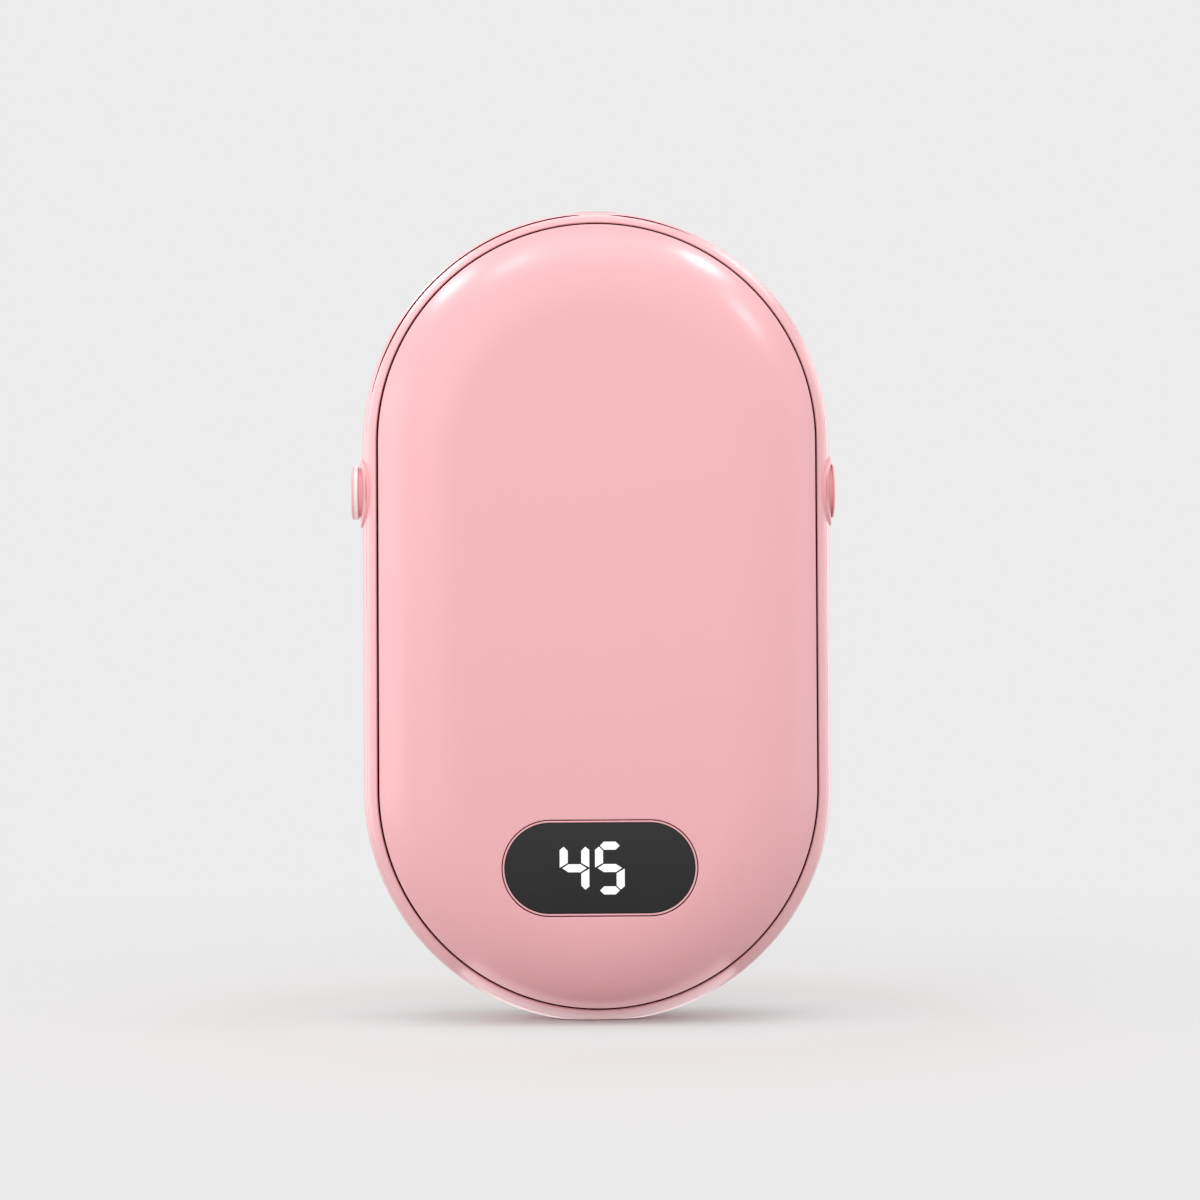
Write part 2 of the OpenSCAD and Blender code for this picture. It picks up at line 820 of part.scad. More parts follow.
module power_flex() {
    x0 = switch_back - half_w;
    z0 = button_z + side_board_l/2;
    start_z = z0 - flex_link;
    reach = acos((power_board_l/2 + slide_fit)/power_flex_r);
    color("orange") {
        block([x0 - flex_t, -flex_w/2, z0 - flex_patch/2], [x0, flex_w/2, start_z + flex_t]);
        block([-power_flex_r - flex_t, -flex_w/2, start_z], [x0, flex_w/2, start_z + flex_t]);
        block([-power_flex_r - flex_t, -flex_w/2, start_z], [-power_flex_r, flex_w/2, z_high + slide_fit]);
        translate([0, 0, z_high])
            rotate([90, 0, 0])
                rotate([0, 0, 180 - reach])
                    rotate_extrude(angle = reach)
                        translate([power_flex_r, -flex_w/2]) square([flex_t, flex_w]);
    }
}

// Main board and what is soldered to it

module main_board() {
    color("seagreen")
        difference() {
            along_y(board_front_y, board_back_y)
                intersection() {
                    translate([0, z_low]) circle(r = board_r);
                    translate([-board_r, 0]) square([2*board_r, board_top_z]);
                }
            for (s = [-1, 1])
                translate([s*post_x, 0, post_z])
                    rod_y(board_pilot_d + shank_gap, board_front_y - overrun, board_back_y + overrun);
        }
}

// A chip of size w by h and thickness t on the back of the main board
module chip(x, z, w, h, t) {
    translate([x - w/2, board_back_y, display_z + z - h/2]) cube([w, t, h]);
}

chip_w = 7;
chip_t = 1;
small_chip_w = 5;
module control_chips() {
    color("black") {
        chip(-chip_w*1.6, -chip_w*0.6, chip_w, chip_w, chip_t);
        chip(chip_w*1.6, -chip_w*1.1, small_chip_w, small_chip_w, chip_t);
        chip(-chip_w*1.6, chip_w*0.8, small_chip_w, small_chip_w, chip_t);
    }
}

coil_w = 6.6;
coil_t = 3;
module power_inductor() {
    color("dimgray")
        translate([coil_w*1.7, board_back_y, display_z + coil_w*0.3]) {
            block([-coil_w/2, 0, -coil_w/2], [coil_w/2, coil_t/2, coil_w/2]);
            rod_y(coil_w*0.9, coil_t/2, coil_t);
        }
}

capacitor_w = 2.5;
capacitor_t = 1.8;
module capacitors() {
    color("tan")
        for (x = [-1, 1], z = [0, 1])
            chip(capacitor_w*x, capacitor_w*1.5*z, capacitor_w*0.8, capacitor_w, capacitor_t);
}

module charging_socket() {
    color("silver")
        translate([0, 0, socket_recess])
            difference() {
                linear_extrude(height = socket_l) pill(socket_w, socket_h);
                translate([0, 0, -overrun])
                    linear_extrude(height = socket_l - socket_wall + overrun)
                        pill(socket_w - 2*socket_wall, socket_h - 2*socket_wall);
            }
}

module socket_tongue() {
    root = socket_l/4;
    color("black")
        translate([0, 0, socket_recess + socket_l - socket_wall]) {
            block([-tongue_w/2, -tongue_t/2, -socket_l + 3*socket_wall], [tongue_w/2, tongue_t/2, 0]);
            translate([0, 0, -root])
                linear_extrude(height = root)
                    pill(socket_w - 2*(socket_wall + seat_fit), socket_h - 2*(socket_wall + seat_fit));
        }
}

connector_w = 8;
connector_h = 3.8;
connector_t = 1.8;
battery_connector_w = 6;
battery_connector_x = 10;
battery_connector_h = 4.5;
battery_connector_t = 5.5;
lead_pitch = 2.5;

module battery_connector() {
    color("ivory")
        block([battery_connector_x - battery_connector_w/2, board_back_y, board_top_z - battery_connector_h],
              [battery_connector_x + battery_connector_w/2, board_back_y + battery_connector_t, board_top_z]);
}

module heater_connectors() {
    z0 = tail_z - connector_h;
    color("ivory") {
        block([-connector_w/2, board_front_y - connector_t, z0], [connector_w/2, board_front_y, tail_z]);
        block([-connector_w/2, board_back_y, z0], [connector_w/2, board_back_y + connector_t, tail_z]);
    }
}

module flex_connectors() {
    w = 3;
    z1 = board_top_z + flex_link;
    color("ivory")
        for (s = [0, 1])
            mirror([s, 0, 0])
                block([flex_lane + flex_t/2 - w/2, board_back_y, z1 - connector_h],
                      [flex_lane + flex_t/2 + w/2, board_back_y + connector_t, z1]);
}

// Heaters, in front of the front deck; the back ones are their mirror images

module heat_plate() {
    color("silver")
        along_y(-half_t + panel_t, -plate_back_y)
            tall_pill(plate_r, plate_bottom, z_high + plate_r);
}

module heater_film() {
    inner_y = board_front_y - connector_t*0.8;
    color("darkorange") {
        along_y(-plate_back_y, -film_back_y)
            tall_pill(film_r, plate_bottom + film_margin, z_high + film_r);
        block([-tail_w/2, -plate_back_y, tail_z], [tail_w/2, -film_back_y, plate_bottom + 2*film_margin]);
        block([-tail_w/2, -plate_back_y, tail_z], [tail_w/2, inner_y, tail_z + film_t]);
    }
}

module back_film() {
    inner_y = board_back_y + connector_t*0.2;
    color("darkorange") {
        along_y(film_back_y, plate_back_y)
            tall_pill(film_r, plate_bottom + film_margin, z_high + film_r);
        block([-tail_w/2, film_back_y, tail_z], [tail_w/2, plate_back_y, plate_bottom + 2*film_margin]);
        block([-tail_w/2, inner_y, tail_z], [tail_w/2, plate_back_y, tail_z + film_t]);
    }
}

module front_heat_plate() { heat_plate(); }
module back_heat_plate() { mirror([0, 1, 0]) heat_plate(); }
module front_heater_film() { heater_film(); }
module back_heater_film() { back_film(); }

module thermistors() {
    color("black")
        for (s = [0, 1])
            mirror([0, s, 0])
                translate([0, 0, thermistor_z]) rod_y(thermistor_d, -film_back_y, -deck_inner_y);
}

// Battery

module cell() {
    color("gainsboro")
        translate([0, 0, cell_bottom])
            along_y(-pack_half_t, -tape_t/2)
                translate([-cell_w/2, 0]) square([cell_w, cell_top - cell_bottom]);
}

module cell_pad() {
    color("dimgray")
        block([-cell_w/2 + 2*pad_margin, -deck_inner_y + pad_fit, cell_bottom + pad_margin],
              [cell_w/2 - 2*pad_margin, -pack_half_t, cell_top - pad_margin]);
}

module front_cell() { cell(); }
module back_cell() { mirror([0, 1, 0]) cell(); }
module front_cell_pad() { cell_pad(); }
module back_cell_pad() { mirror([0, 1, 0]) cell_pad(); }

module cell_tape() {
    color("white")
        block([-cell_w/2 + pad_margin, -tape_t/2, cell_bottom + pad_margin],
              [cell_w/2 - pad_margin, tape_t/2, cell_top - pad_margin]);
}

module battery_board() {
    color("seagreen")
        block([-guard_w/2, -guard_d/2, cell_bottom - guard_t], [guard_w/2, guard_d/2, cell_bottom]);
}

module battery_leads() {
    color("crimson")
        for (s = [-1, 1])
            translate([battery_connector_x + s*lead_pitch/2, guard_d/4, board_top_z])
                cylinder(d = lead_d, h = cell_bottom - guard_t - board_top_z);
}

// Screws

module housing_screws() {
    color("silver")
        for (p = columns) translate([p[0], 0, p[1]])
            difference() {
                union() {
                    rod_y(pilot_d - 2*screw_fit, -seam_y - pilot_l + shank_gap, head_seat_y + head_t/2);
                    rod_y(head_d, head_seat_y, head_seat_y + head_t);
                }
                cross_recess(head_seat_y + head_t);
            }
}

module board_screws() {
    color("silver")
        for (s = [-1, 1]) translate([s*post_x, 0, post_z])
            difference() {
                union() {
                    rod_y(board_pilot_d - 2*screw_fit, board_front_y - pilot_l + shank_gap,
                          board_back_y + head_t/2);
                    rod_y(board_head_d, board_back_y, board_back_y + head_t);
                }
                cross_recess(board_back_y + head_t);
            }
}

// Cross recess in a screw head whose outer face is at y
module cross_recess(y) {
    slot_w = head_t/3;
    slot_l = head_t*1.4;
    for (a = [0, 90])
        rotate([0, a, 0])
            block([-slot_l/2, y - head_t/2, -slot_w/2], [slot_l/2, y + overrun, slot_w/2]);
}

front_panel();
back_panel();
front_housing();
back_housing();
display_bezel();
display_lens();
digit_segments();
display_reflector();
segment_leds();
left_collar();
right_collar();
left_button();
right_button();
power_button();
left_plunger();
right_plunger();
power_plunger();
left_switch();
right_switch();
power_switch();
left_switch_board();
right_switch_board();
power_switch_board();
left_flex();
right_flex();
power_flex();
main_board();
control_chips();
power_inductor();
capacitors();
charging_socket();
socket_tongue();
battery_connector();
heater_connectors();
flex_connectors();
front_heat_plate();
back_heat_plate();
front_heater_film();
back_heater_film();
thermistors();
front_cell();
back_cell();
cell_tape();
front_cell_pad();
back_cell_pad();
battery_board();
battery_leads();
housing_screws();
board_screws();
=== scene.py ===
import json
import math

import bmesh
import bpy
from mathutils import Matrix, Vector
from mathutils.geometry import delaunay_2d_cdt


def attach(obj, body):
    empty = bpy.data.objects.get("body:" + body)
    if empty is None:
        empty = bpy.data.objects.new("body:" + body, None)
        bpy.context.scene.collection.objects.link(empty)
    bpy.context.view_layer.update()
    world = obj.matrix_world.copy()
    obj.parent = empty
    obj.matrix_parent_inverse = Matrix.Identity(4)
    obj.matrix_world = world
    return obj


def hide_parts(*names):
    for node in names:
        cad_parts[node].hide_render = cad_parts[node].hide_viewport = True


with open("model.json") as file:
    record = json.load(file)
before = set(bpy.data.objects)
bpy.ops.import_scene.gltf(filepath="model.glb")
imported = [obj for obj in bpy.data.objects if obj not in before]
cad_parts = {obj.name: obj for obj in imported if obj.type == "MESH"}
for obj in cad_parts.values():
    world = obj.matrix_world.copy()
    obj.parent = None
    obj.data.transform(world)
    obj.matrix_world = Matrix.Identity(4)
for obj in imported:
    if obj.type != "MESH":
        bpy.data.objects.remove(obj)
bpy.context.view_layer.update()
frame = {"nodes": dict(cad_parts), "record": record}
nodes = frame["nodes"]
scene = bpy.context.scene

# One millimetre in Blender's metres. Every length below is in millimetres, up to the camera.
MM = 0.001

# The body's section, as the CAD has it: flat faces, wide shoulders and round sides
HALF_W = 33.0
HALF_T = 13.5
SIDE_R = 10.0
SHOULDER_W = 15.0
FLAT_R = HALF_W - SHOULDER_W
SIDE_C = HALF_W - SIDE_R
SHOULDER_R = (SHOULDER_W ** 2 - 2 * SHOULDER_W * SIDE_R + HALF_T ** 2) / (2 * (HALF_T - SIDE_R))
SHOULDER_Y = SHOULDER_R - HALF_T
JOIN = math.atan2(SHOULDER_Y, SIDE_C - FLAT_R)

# The body's height: two round ends about their middles, with the straight stretch between them
FOOT_CUT = 0.5
STRAIGHT_H = 48.4
Z_LOW = HALF_W - FOOT_CUT
Z_HIGH = Z_LOW + STRAIGHT_H
TOP_Z = Z_HIGH + HALF_W

# Face panels: their edge, their thickness, and how deep the edge goes to its seat in the rim
PANEL_R = 30.5
PANEL_T = 1.5
EDGE_DEPTH = 1.5
PANEL_ROUND = 0.14
PANEL_BACK_ROUND = 0.1

# Rim: its opening for the panel, its walls, and the deck under the panel
RIM_R = 30.77
LIP_ROUND = 0.18
LIP_RUN = 0.75
WALL_T = 2.0
DECK_OUT = 2.6
DECK_IN = 3.9
LEDGE_T = 1.3

# Depth under the panel's edge from which its side is painted dark as shade
PAINTED_SHADE_DEPTH = 0.4

# Seam between the housings: half its groove's width to the front and to the back, and its depth.
# The hairline is what the groove narrows to.
SEAM_Y = 3.6
GROOVE_FRONT = 0.5
GROOVE_BACK = 0.2
GROOVE_D = 0.6
HAIRLINE = 0.06
HAIRLINE_D = 0.3

# Where the seam opens, on either side of the top: it starts at the first upward part of a direction
# from the round end's middle and is fully open at the second. At the power button it is open by a
# share only, up to the sideways part AT_BUTTON, and widens over the stretch BESIDE_BUTTON. Where it
# is open by more than the share in the last number below, its walls are painted dark maroon as shade.
OPEN_LEFT = (0.15, 0.5)
OPEN_RIGHT = (0.90, 0.97)
AT_BUTTON_SHARE = 0.12
AT_BUTTON = 0.05
BESIDE_BUTTON = 0.08
PAINTED_SHADE_SHARE = 0.15

# Display: the lens, the pale lip round it, and the shelf that carries the lens
DISPLAY_Z = 21.85
LENS_W = 26.3
LENS_H = 12.55
LENS_FRONT = 13.35
LENS_BACK = 12.55
LENS_PLAY = 0.06
LENS_ROUND = 0.1
SHELF = 1.6
BEZEL_W = 0.25
BEZEL_GAP = 0.14
BEZEL_ROUND = 0.12
WINDOW_ROUND = 0.1
DIGIT_PROUD = 0.02
LENS_MARGIN = 0.5

# Side buttons. For each head: how far out its underside and its face are, and the width of its band painted
# pale as a highlight.
# Then the radii from the outside in, the depths in from the body's side, and the small rounds.
LEFT_HEAD = (0.50, 1.49, 0.48)
RIGHT_HEAD = (0.34, 0.62, 0.0)
BAND_START = 0.1
BUTTON_DROP = 6.6
BUTTON_Z = Z_HIGH - BUTTON_DROP
COLLAR_R = 4.95
RECESS_R = 3.85
HEAD_R = 3.8
WELL_R = 3.5
NECK_R = 3.45
CROWN_R = 3.2
FLAT_FACE_R = 2.4
SLEEVE_R = 2.8
SNAP_R = 2.5
SLEEVE_HOLE_R = 2.15
STEM_R = 2.1
COLLAR_PROUD = 0.3
COLLAR_DEPTH = 1.35
COLLAR_BEND = 0.77
COLLAR_STRAIGHT = 0.6
RECESS_DEPTH = 0.1
WELL_DEPTH = 0.95
NECK_DEPTH = 0.5
SLEEVE_DEPTH = 3.6
SNAP_DEPTH = 4.5
SNAP_T = 0.85
SNAP_CHAMFER = 0.1
CROWN = 0.004
COLLAR_ROUND = 0.14
RECESS_ROUND = 0.08
HEAD_ROUND = 0.24
HEAD_UNDER_ROUND = 0.08
NECK_ROUND = 0.06

# Power button: its cap, how far it stands proud, and the flange that holds it in
POWER_W = 6.5
POWER_D = 3.6
POWER_PROUD = 0.10
POWER_ROUND = 0.08
POWER_DEPTH = 3.0
POWER_FLANGE = 0.9
POWER_FLANGE_T = 1.0
POWER_RINGS = (0.3, 0.7, 1.1, 1.5)
POWER_RING_MIN = 0.3

# Holes in the rim: the collars' seats, their sleeves, the charging socket and the power button
COLLAR_HOLE = 10.0
SLEEVE_HOLE = 5.7
SLEEVE_HOLE_DEPTH = 5.0
SOCKET_HOLE_W = 9.24
SOCKET_HOLE_H = 3.56
SOCKET_HOLE_DEPTH = 3.0
POWER_HOLE_W = 6.8
POWER_HOLE_D = 3.9
POWER_HOLE_DEPTH = 4.0
WINDOW_CUT_Y = (-14, -9)
OVERRUN = 2.0


def surf_y(r, grow=0.0):
    """Distance of the body's surface from the middle plane, r from the section's axis."""
    if r <= FLAT_R:
        return HALF_T + grow
    join_r = FLAT_R + (SHOULDER_R + grow) * math.cos(JOIN)
    if r <= join_r:
        return math.sqrt((SHOULDER_R + grow) ** 2 - (r - FLAT_R) ** 2) - SHOULDER_Y
    return math.sqrt(max(0.0, (SIDE_R + grow) ** 2 - (r - SIDE_C) ** 2))


def surf_r(y, grow=0.0):
    """Distance of the body's surface from the section's axis, y from the middle plane."""
    y = abs(y)
    if y <= (SIDE_R + grow) * math.sin(JOIN):
        return SIDE_C + math.sqrt((SIDE_R + grow) ** 2 - y ** 2)
    return FLAT_R + math.sqrt((SHOULDER_R + grow) ** 2 - (y + SHOULDER_Y) ** 2)


SEAT_Y = surf_y(PANEL_R) - EDGE_DEPTH

# Corners sharper than this many degrees aren't shaded smooth
SHARP_ANGLE = 34


def along_surface(y0, y1, grow=0.0, n=12):
    """Points (r, -y) on the surface from depth y0 to depth y1, evenly spaced by angle."""
    def angle(y):
        if y <= (SIDE_R + grow) * math.sin(JOIN):
            return math.asin(y / (SIDE_R + grow))
        return math.asin(min(1.0, (y + SHOULDER_Y) / (SHOULDER_R + grow)))

    a0, a1 = angle(y0), angle(y1)
    out = []
    for i in range(n + 1):
        a = a0 + (a1 - a0) * i / n
        if a <= JOIN:
            out.append((SIDE_C + (SIDE_R + grow) * math.cos(a), -(SIDE_R + grow) * math.sin(a)))
        else:
            out.append((FLAT_R + (SHOULDER_R + grow) * math.cos(a),
                        SHOULDER_Y - (SHOULDER_R + grow) * math.sin(a)))
    return out


def rounded(points, radii, n=4, share=0.48):
    """A corner list with each corner replaced by an arc of its radius (0 keeps it). The list is open.

    An arc takes at most that share of the two stretches beside its corner."""
    out = []
    for i, p in enumerate(points):
        rad = radii.get(i, 0)
        if not rad:
            out.append(tuple(p))
            continue
        p = Vector(p)
        a = (Vector(points[i - 1]) - p)
        b = (Vector(points[(i + 1) % len(points)]) - p)
        la, lb = a.length, b.length
        a.normalize()
        b.normalize()
        half = a.angle(b) / 2
        cut = min(rad / math.tan(half), share * la, share * lb)
        rad = cut * math.tan(half)
        centre = p + (a + b).normalized() * (rad / math.sin(half))
        s = p + a * cut - centre
        e = p + b * cut - centre
        turn = s.angle_signed(e)
        for k in range(n + 1):
            t = -turn * k / n
            c, d = math.cos(t), math.sin(t)
            out.append((centre.x + s.x * c - s.y * d, centre.y + s.x * d + s.y * c))
    return out


def stations(n_arc=96, n_straight=24):
    """Places around the upright oval: (centre z, direction x, direction z)."""
    out = []
    for k in range(n_straight):
        out.append((Z_LOW + (Z_HIGH - Z_LOW) * k / n_straight, 1.0, 0.0))
    for k in range(n_arc):
        a = math.pi * k / n_arc
        out.append((Z_HIGH, math.cos(a), math.sin(a)))
    for k in range(n_straight):
        out.append((Z_HIGH - (Z_HIGH - Z_LOW) * k / n_straight, -1.0, 0.0))
    for k in range(n_arc):
        a = math.pi + math.pi * k / n_arc
        out.append((Z_LOW, math.cos(a), math.sin(a)))
    return out


STATIONS = stations()


def ring_at(bm, r, y):
    """A ring of vertices around the upright oval, r from the section's axis."""
    return [bm.verts.new((r * dx, y, zc + r * dz)) for zc, dx, dz in STATIONS]


def seam_share(dx, dz):
    """How open the seam's groove is in a direction from the middle of a round end, from 0 to 1.

    It is full over the top left and a short way right of the top, fine at the power button and a
    hairline elsewhere."""
    lo, hi = OPEN_LEFT if dx < 0 else OPEN_RIGHT
    t = min(1.0, max(0.0, (dz - lo) / (hi - lo)))
    away = min(1.0, max(0.0, (abs(dx) - AT_BUTTON) / BESIDE_BUTTON))
    return t * t * (3 - 2 * t) * (AT_BUTTON_SHARE + (1 - AT_BUTTON_SHARE) * away)


def ring_between(bm, fine, full):
    """A ring that goes from the fine point of a section to the full one as the seam's groove opens."""
    out = []
    for zc, dx, dz in STATIONS:
        t = seam_share(dx, dz)
        r = fine[0] + (full[0] - fine[0]) * t
        y = fine[1] + (full[1] - fine[1]) * t
        out.append(bm.verts.new((r * dx, y, zc + r * dz)))
    return out


def bridge(bm, a, b):
    """Quads between two rings of the same length."""
    n = len(a)
    for i in range(n):
        j = (i + 1) % n
        bm.faces.new((a[i], a[j], b[j], b[i]))


def bridge_all(bm, rings, close=False):
    """Quads between each ring and the next, and from the last back to the first if close is set."""
    for a, b in zip(rings, rings[1:]):
        bridge(bm, a, b)
    if close:
        bridge(bm, rings[-1], rings[0])


def pill_ring(w, h, n_arc=28, n_straight=10):
    """Outline of an oval with round ends, about its middle."""
    c, r = (w - h) / 2, h / 2
    out = []
    for k in range(n_arc):
        a = -math.pi / 2 + math.pi * k / n_arc
        out.append((c + r * math.cos(a), r * math.sin(a)))
    for k in range(n_straight):
        out.append((c - 2 * c * k / n_straight, r))
    for k in range(n_arc):
        a = math.pi / 2 + math.pi * k / n_arc
        out.append((-c + r * math.cos(a), r * math.sin(a)))
    for k in range(n_straight):
        out.append((-c + 2 * c * k / n_straight, -r))
    return out


def in_pill(x, z, w, h):
    """Whether a point lies inside an oval about the middle."""
    c = max(0.0, abs(x) - (w - h) / 2)
    return math.hypot(c, z) < h / 2


def oval_r(x, z):
    """Distance from the section's axis of a point on the face."""
    return math.hypot(x, max(0.0, z - Z_HIGH, Z_LOW - z))


def finish_mesh(bm, name, body, mat, replaces, merge=1e-4):
    """Makes the object of a mesh built in millimetres, and says what it rides on and stands for."""
    bmesh.ops.remove_doubles(bm, verts=bm.verts, dist=merge)
    bmesh.ops.recalc_face_normals(bm, faces=bm.faces)
    bmesh.ops.scale(bm, vec=(MM, MM, MM), verts=bm.verts)
    mesh = bpy.data.meshes.new(name)
    bm.to_mesh(mesh)
    bm.free()
    obj = bpy.data.objects.new(name, mesh)
    scene.collection.objects.link(obj)
    smooth(mesh)
    mesh.materials.append(mat)
    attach(obj, body)
    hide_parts(*replaces)
    return obj


def paint(obj, test, mat):
    """Gives the faces whose middle passes the test (x, y, z in millimetres) a second material."""
    mesh = obj.data
    mesh.materials.append(mat)
    index = len(mesh.materials) - 1
    for poly in mesh.polygons:
        if test(*(poly.center / MM)):
            poly.material_index = index


def smooth(mesh):
    """Shades the mesh smooth, but for its corners."""
    mesh.polygons.foreach_set("use_smooth", [True] * len(mesh.polygons))
    mesh.set_sharp_from_angle(angle=math.radians(SHARP_ANGLE))


# Materials. GRAIN and COARSE are the depths of a bump, in metres.

GRAIN = 0.00002
COARSE = 0.00005


def grey(level):
    """The colour of a grey that shows as this level of 255 on the screen."""
    c = level / 255.0
    c = c / 12.92 if c <= 0.04045 else ((c + 0.055) / 1.055) ** 2.4
    return (c, c, c, 1.0)


class Mat:
    """A small helper that builds one node material."""

    def __init__(self, name):
        self.m = bpy.data.materials.new(name)
        self.m.use_nodes = True
        self.t = self.m.node_tree
        self.n = self.t.nodes
        self.n.clear()
        self.out = self.n.new("ShaderNodeOutputMaterial")
        self.p = self.n.new("ShaderNodeBsdfPrincipled")
        self.t.links.new(self.p.outputs[0], self.out.inputs[0])
        self.coord = self.n.new("ShaderNodeTexCoord")

    def link(self, a, b):
        self.t.links.new(a, b)

    def set(self, **kw):
        for k, v in kw.items():
            self.p.inputs[k.replace("_", " ")].default_value = v

    def noise(self, scale, detail=3.0, rough=0.55):
        n = self.n.new("ShaderNodeTexNoise")
        n.inputs["Scale"].default_value = scale
        n.inputs["Detail"].default_value = detail
        n.inputs["Roughness"].default_value = rough
        self.link(self.coord.outputs["Object"], n.inputs["Vector"])
        return n.outputs["Fac"]

    def span(self, fac, lo, hi, a=0.3, b=0.7):
        """Takes a value from the range a to b to the range lo to hi."""
        r = self.n.new("ShaderNodeMapRange")
        r.inputs["From Min"].default_value = a
        r.inputs["From Max"].default_value = b
        r.inputs["To Min"].default_value = lo
        r.inputs["To Max"].default_value = hi
        self.link(fac, r.inputs["Value"])
        return r.outputs[0]

    def mix(self, fac, a, b):
        m = self.n.new("ShaderNodeMix")
        m.data_type = "RGBA"
        self.link(fac, m.inputs[0])
        for i, v in ((6, a), (7, b)):
            if isinstance(v, tuple):
                m.inputs[i].default_value = v
            else:
                self.link(v, m.inputs[i])
        return m.outputs[2]

    def bump(self, height, strength, distance):
        b = self.n.new("ShaderNodeBump")
        b.inputs["Strength"].default_value = strength
        b.inputs["Distance"].default_value = distance
        self.link(height, b.inputs["Height"])
        self.link(b.outputs[0], self.p.inputs["Normal"])


def satin_plastic(name, colour, dark, rough=0.42, grain=2600, bump=0.10, ior=1.5):
    """Moulded plastic with a fine satin grain and a slight cloudiness of colour and gloss."""
    m = Mat(name)
    m.link(m.mix(m.span(m.noise(55, 3), 0.0, 1.0), colour, dark), m.p.inputs["Base Color"])
    m.link(m.span(m.noise(240, 4), rough - 0.01, rough + 0.01), m.p.inputs["Roughness"])
    m.bump(m.noise(grain, 2), bump, GRAIN)
    m.set(IOR=ior)
    return m.m


def tint(c, k):
    return (c[0] * k, c[1] * k, c[2] * k, 1.0)


PINK = (0.93, 0.475, 0.500, 1.0)
# The body's gloss: the roughness and the strength of its grain
SATIN = {"rough": 0.29, "bump": 0.04}
# The gaps' painted shade is dull, so that it stays dark
DULL = {"rough": 0.7, "ior": 1.02}
pink = satin_plastic("body_pink", PINK, tint(PINK, 0.99), **SATIN)
pink_panel = satin_plastic("panel_pink", PINK, tint(PINK, 0.99), **SATIN)
# Two dark colours painted as shade: the first on the walls of the gap round the panels, the second in the
# seam's groove, in the window's hole and in the buttons' wells
gap_shade = satin_plastic("gap_painted_shade", (0.21, 0.004, 0.010, 1.0), (0.18, 0.003, 0.009, 1.0), **DULL)
shade = satin_plastic("recess_painted_shade", (0.17, 0.004, 0.008, 1.0), (0.15, 0.003, 0.007, 1.0), **DULL)
painted_highlight = satin_plastic("band_painted_highlight", (0.97, 0.88, 0.89, 1.0), (0.95, 0.86, 0.87, 1.0), **SATIN)
mauve = satin_plastic("power_mauve", (0.86, 0.52, 0.58, 1.0), (0.83, 0.49, 0.55, 1.0))
white_plastic = satin_plastic("white_plastic", (0.82, 0.82, 0.80, 1.0), (0.78, 0.78, 0.75, 1.0), rough=0.5)
black_plastic = satin_plastic("black_plastic", (0.02, 0.02, 0.02, 1.0), (0.03, 0.03, 0.032, 1.0), rough=0.5)


def board_material():
    """Green solder mask, a little uneven."""
    m = Mat("board_green")
    m.link(m.mix(m.span(m.noise(900, 2), 0, 1), (0.02, 0.12, 0.05, 1), (0.03, 0.17, 0.07, 1)),
           m.p.inputs["Base Color"])
    m.link(m.span(m.noise(400, 3), 0.25, 0.4), m.p.inputs["Roughness"])
    m.bump(m.noise(1500, 2), 0.15, GRAIN)
    return m.m


def metal(name, colour, rough, stretch=(1, 1, 30)):
    """Metal with fine drawn lines."""
    m = Mat(name)
    mp = m.n.new("ShaderNodeMapping")
    mp.inputs["Scale"].default_value = stretch
    m.link(m.coord.outputs["Object"], mp.inputs["Vector"])
    n = m.n.new("ShaderNodeTexNoise")
    n.inputs["Scale"].default_value = 300
    n.inputs["Detail"].default_value = 4
    m.link(mp.outputs[0], n.inputs["Vector"])
    m.link(m.mix(m.span(n.outputs["Fac"], 0, 1), colour, tint(colour, 0.85)), m.p.inputs["Base Color"])
    m.link(m.span(n.outputs["Fac"], rough - 0.06, rough + 0.08), m.p.inputs["Roughness"])
    m.bump(n.outputs["Fac"], 0.15, GRAIN)
    m.set(Metallic=1.0)
    return m.m


def soft_stuff(name, a, b, rough, grain):
    """Film, foam, rubber or resin: two colours in patches, with a coarse bump."""
    m = Mat(name)
    m.link(m.mix(m.span(m.noise(grain, 4), 0, 1), a, b), m.p.inputs["Base Color"])
    m.link(m.span(m.noise(grain * 0.6, 3), rough - 0.05, rough + 0.05), m.p.inputs["Roughness"])
    m.bump(m.noise(grain * 1.3, 3), 0.4, COARSE)
    return m.m


def lens_material():
    """Dark tinted window, painted lighter towards its top as a reflection, with a faint cloudy depth and a
    smooth face.
    """
    m = Mat("lens_dark")
    sep = m.n.new("ShaderNodeSeparateXYZ")
    m.link(m.coord.outputs["Object"], sep.inputs[0])
    reach = 7
    # Painted reflection: the base colour is lighter towards the top
    up = m.span(sep.outputs[2], 0.0, 1.0, (DISPLAY_Z - reach) * MM, (DISPLAY_Z + reach) * MM)
    base = m.mix(up, (0.002, 0.002, 0.002, 1), (0.021, 0.021, 0.022, 1))
    m.link(m.mix(m.span(m.noise(160, 3), 0, 0.35), base, (0.014, 0.014, 0.0145, 1)), m.p.inputs["Base Color"])
    m.link(m.span(m.noise(500, 3), 0.16, 0.20), m.p.inputs["Roughness"])
    m.bump(m.noise(700, 2), 0.03, GRAIN)
    m.set(IOR=1.42)
    return m.m


def digit_material():
    """Lit white strokes, a touch uneven in brightness."""
    m = Mat("digit_lit")
    glow = m.mix(m.span(m.noise(600, 2), 0, 1), (0.93, 0.935, 0.945, 1), (0.97, 0.97, 0.975, 1))
    m.link(glow, m.p.inputs["Emission Color"])
    m.set(Base_Color=(0.25, 0.25, 0.25, 1), Roughness=0.4, Emission_Strength=0.92)
    m.bump(m.noise(900, 2), 0.05, GRAIN)
    return m.m


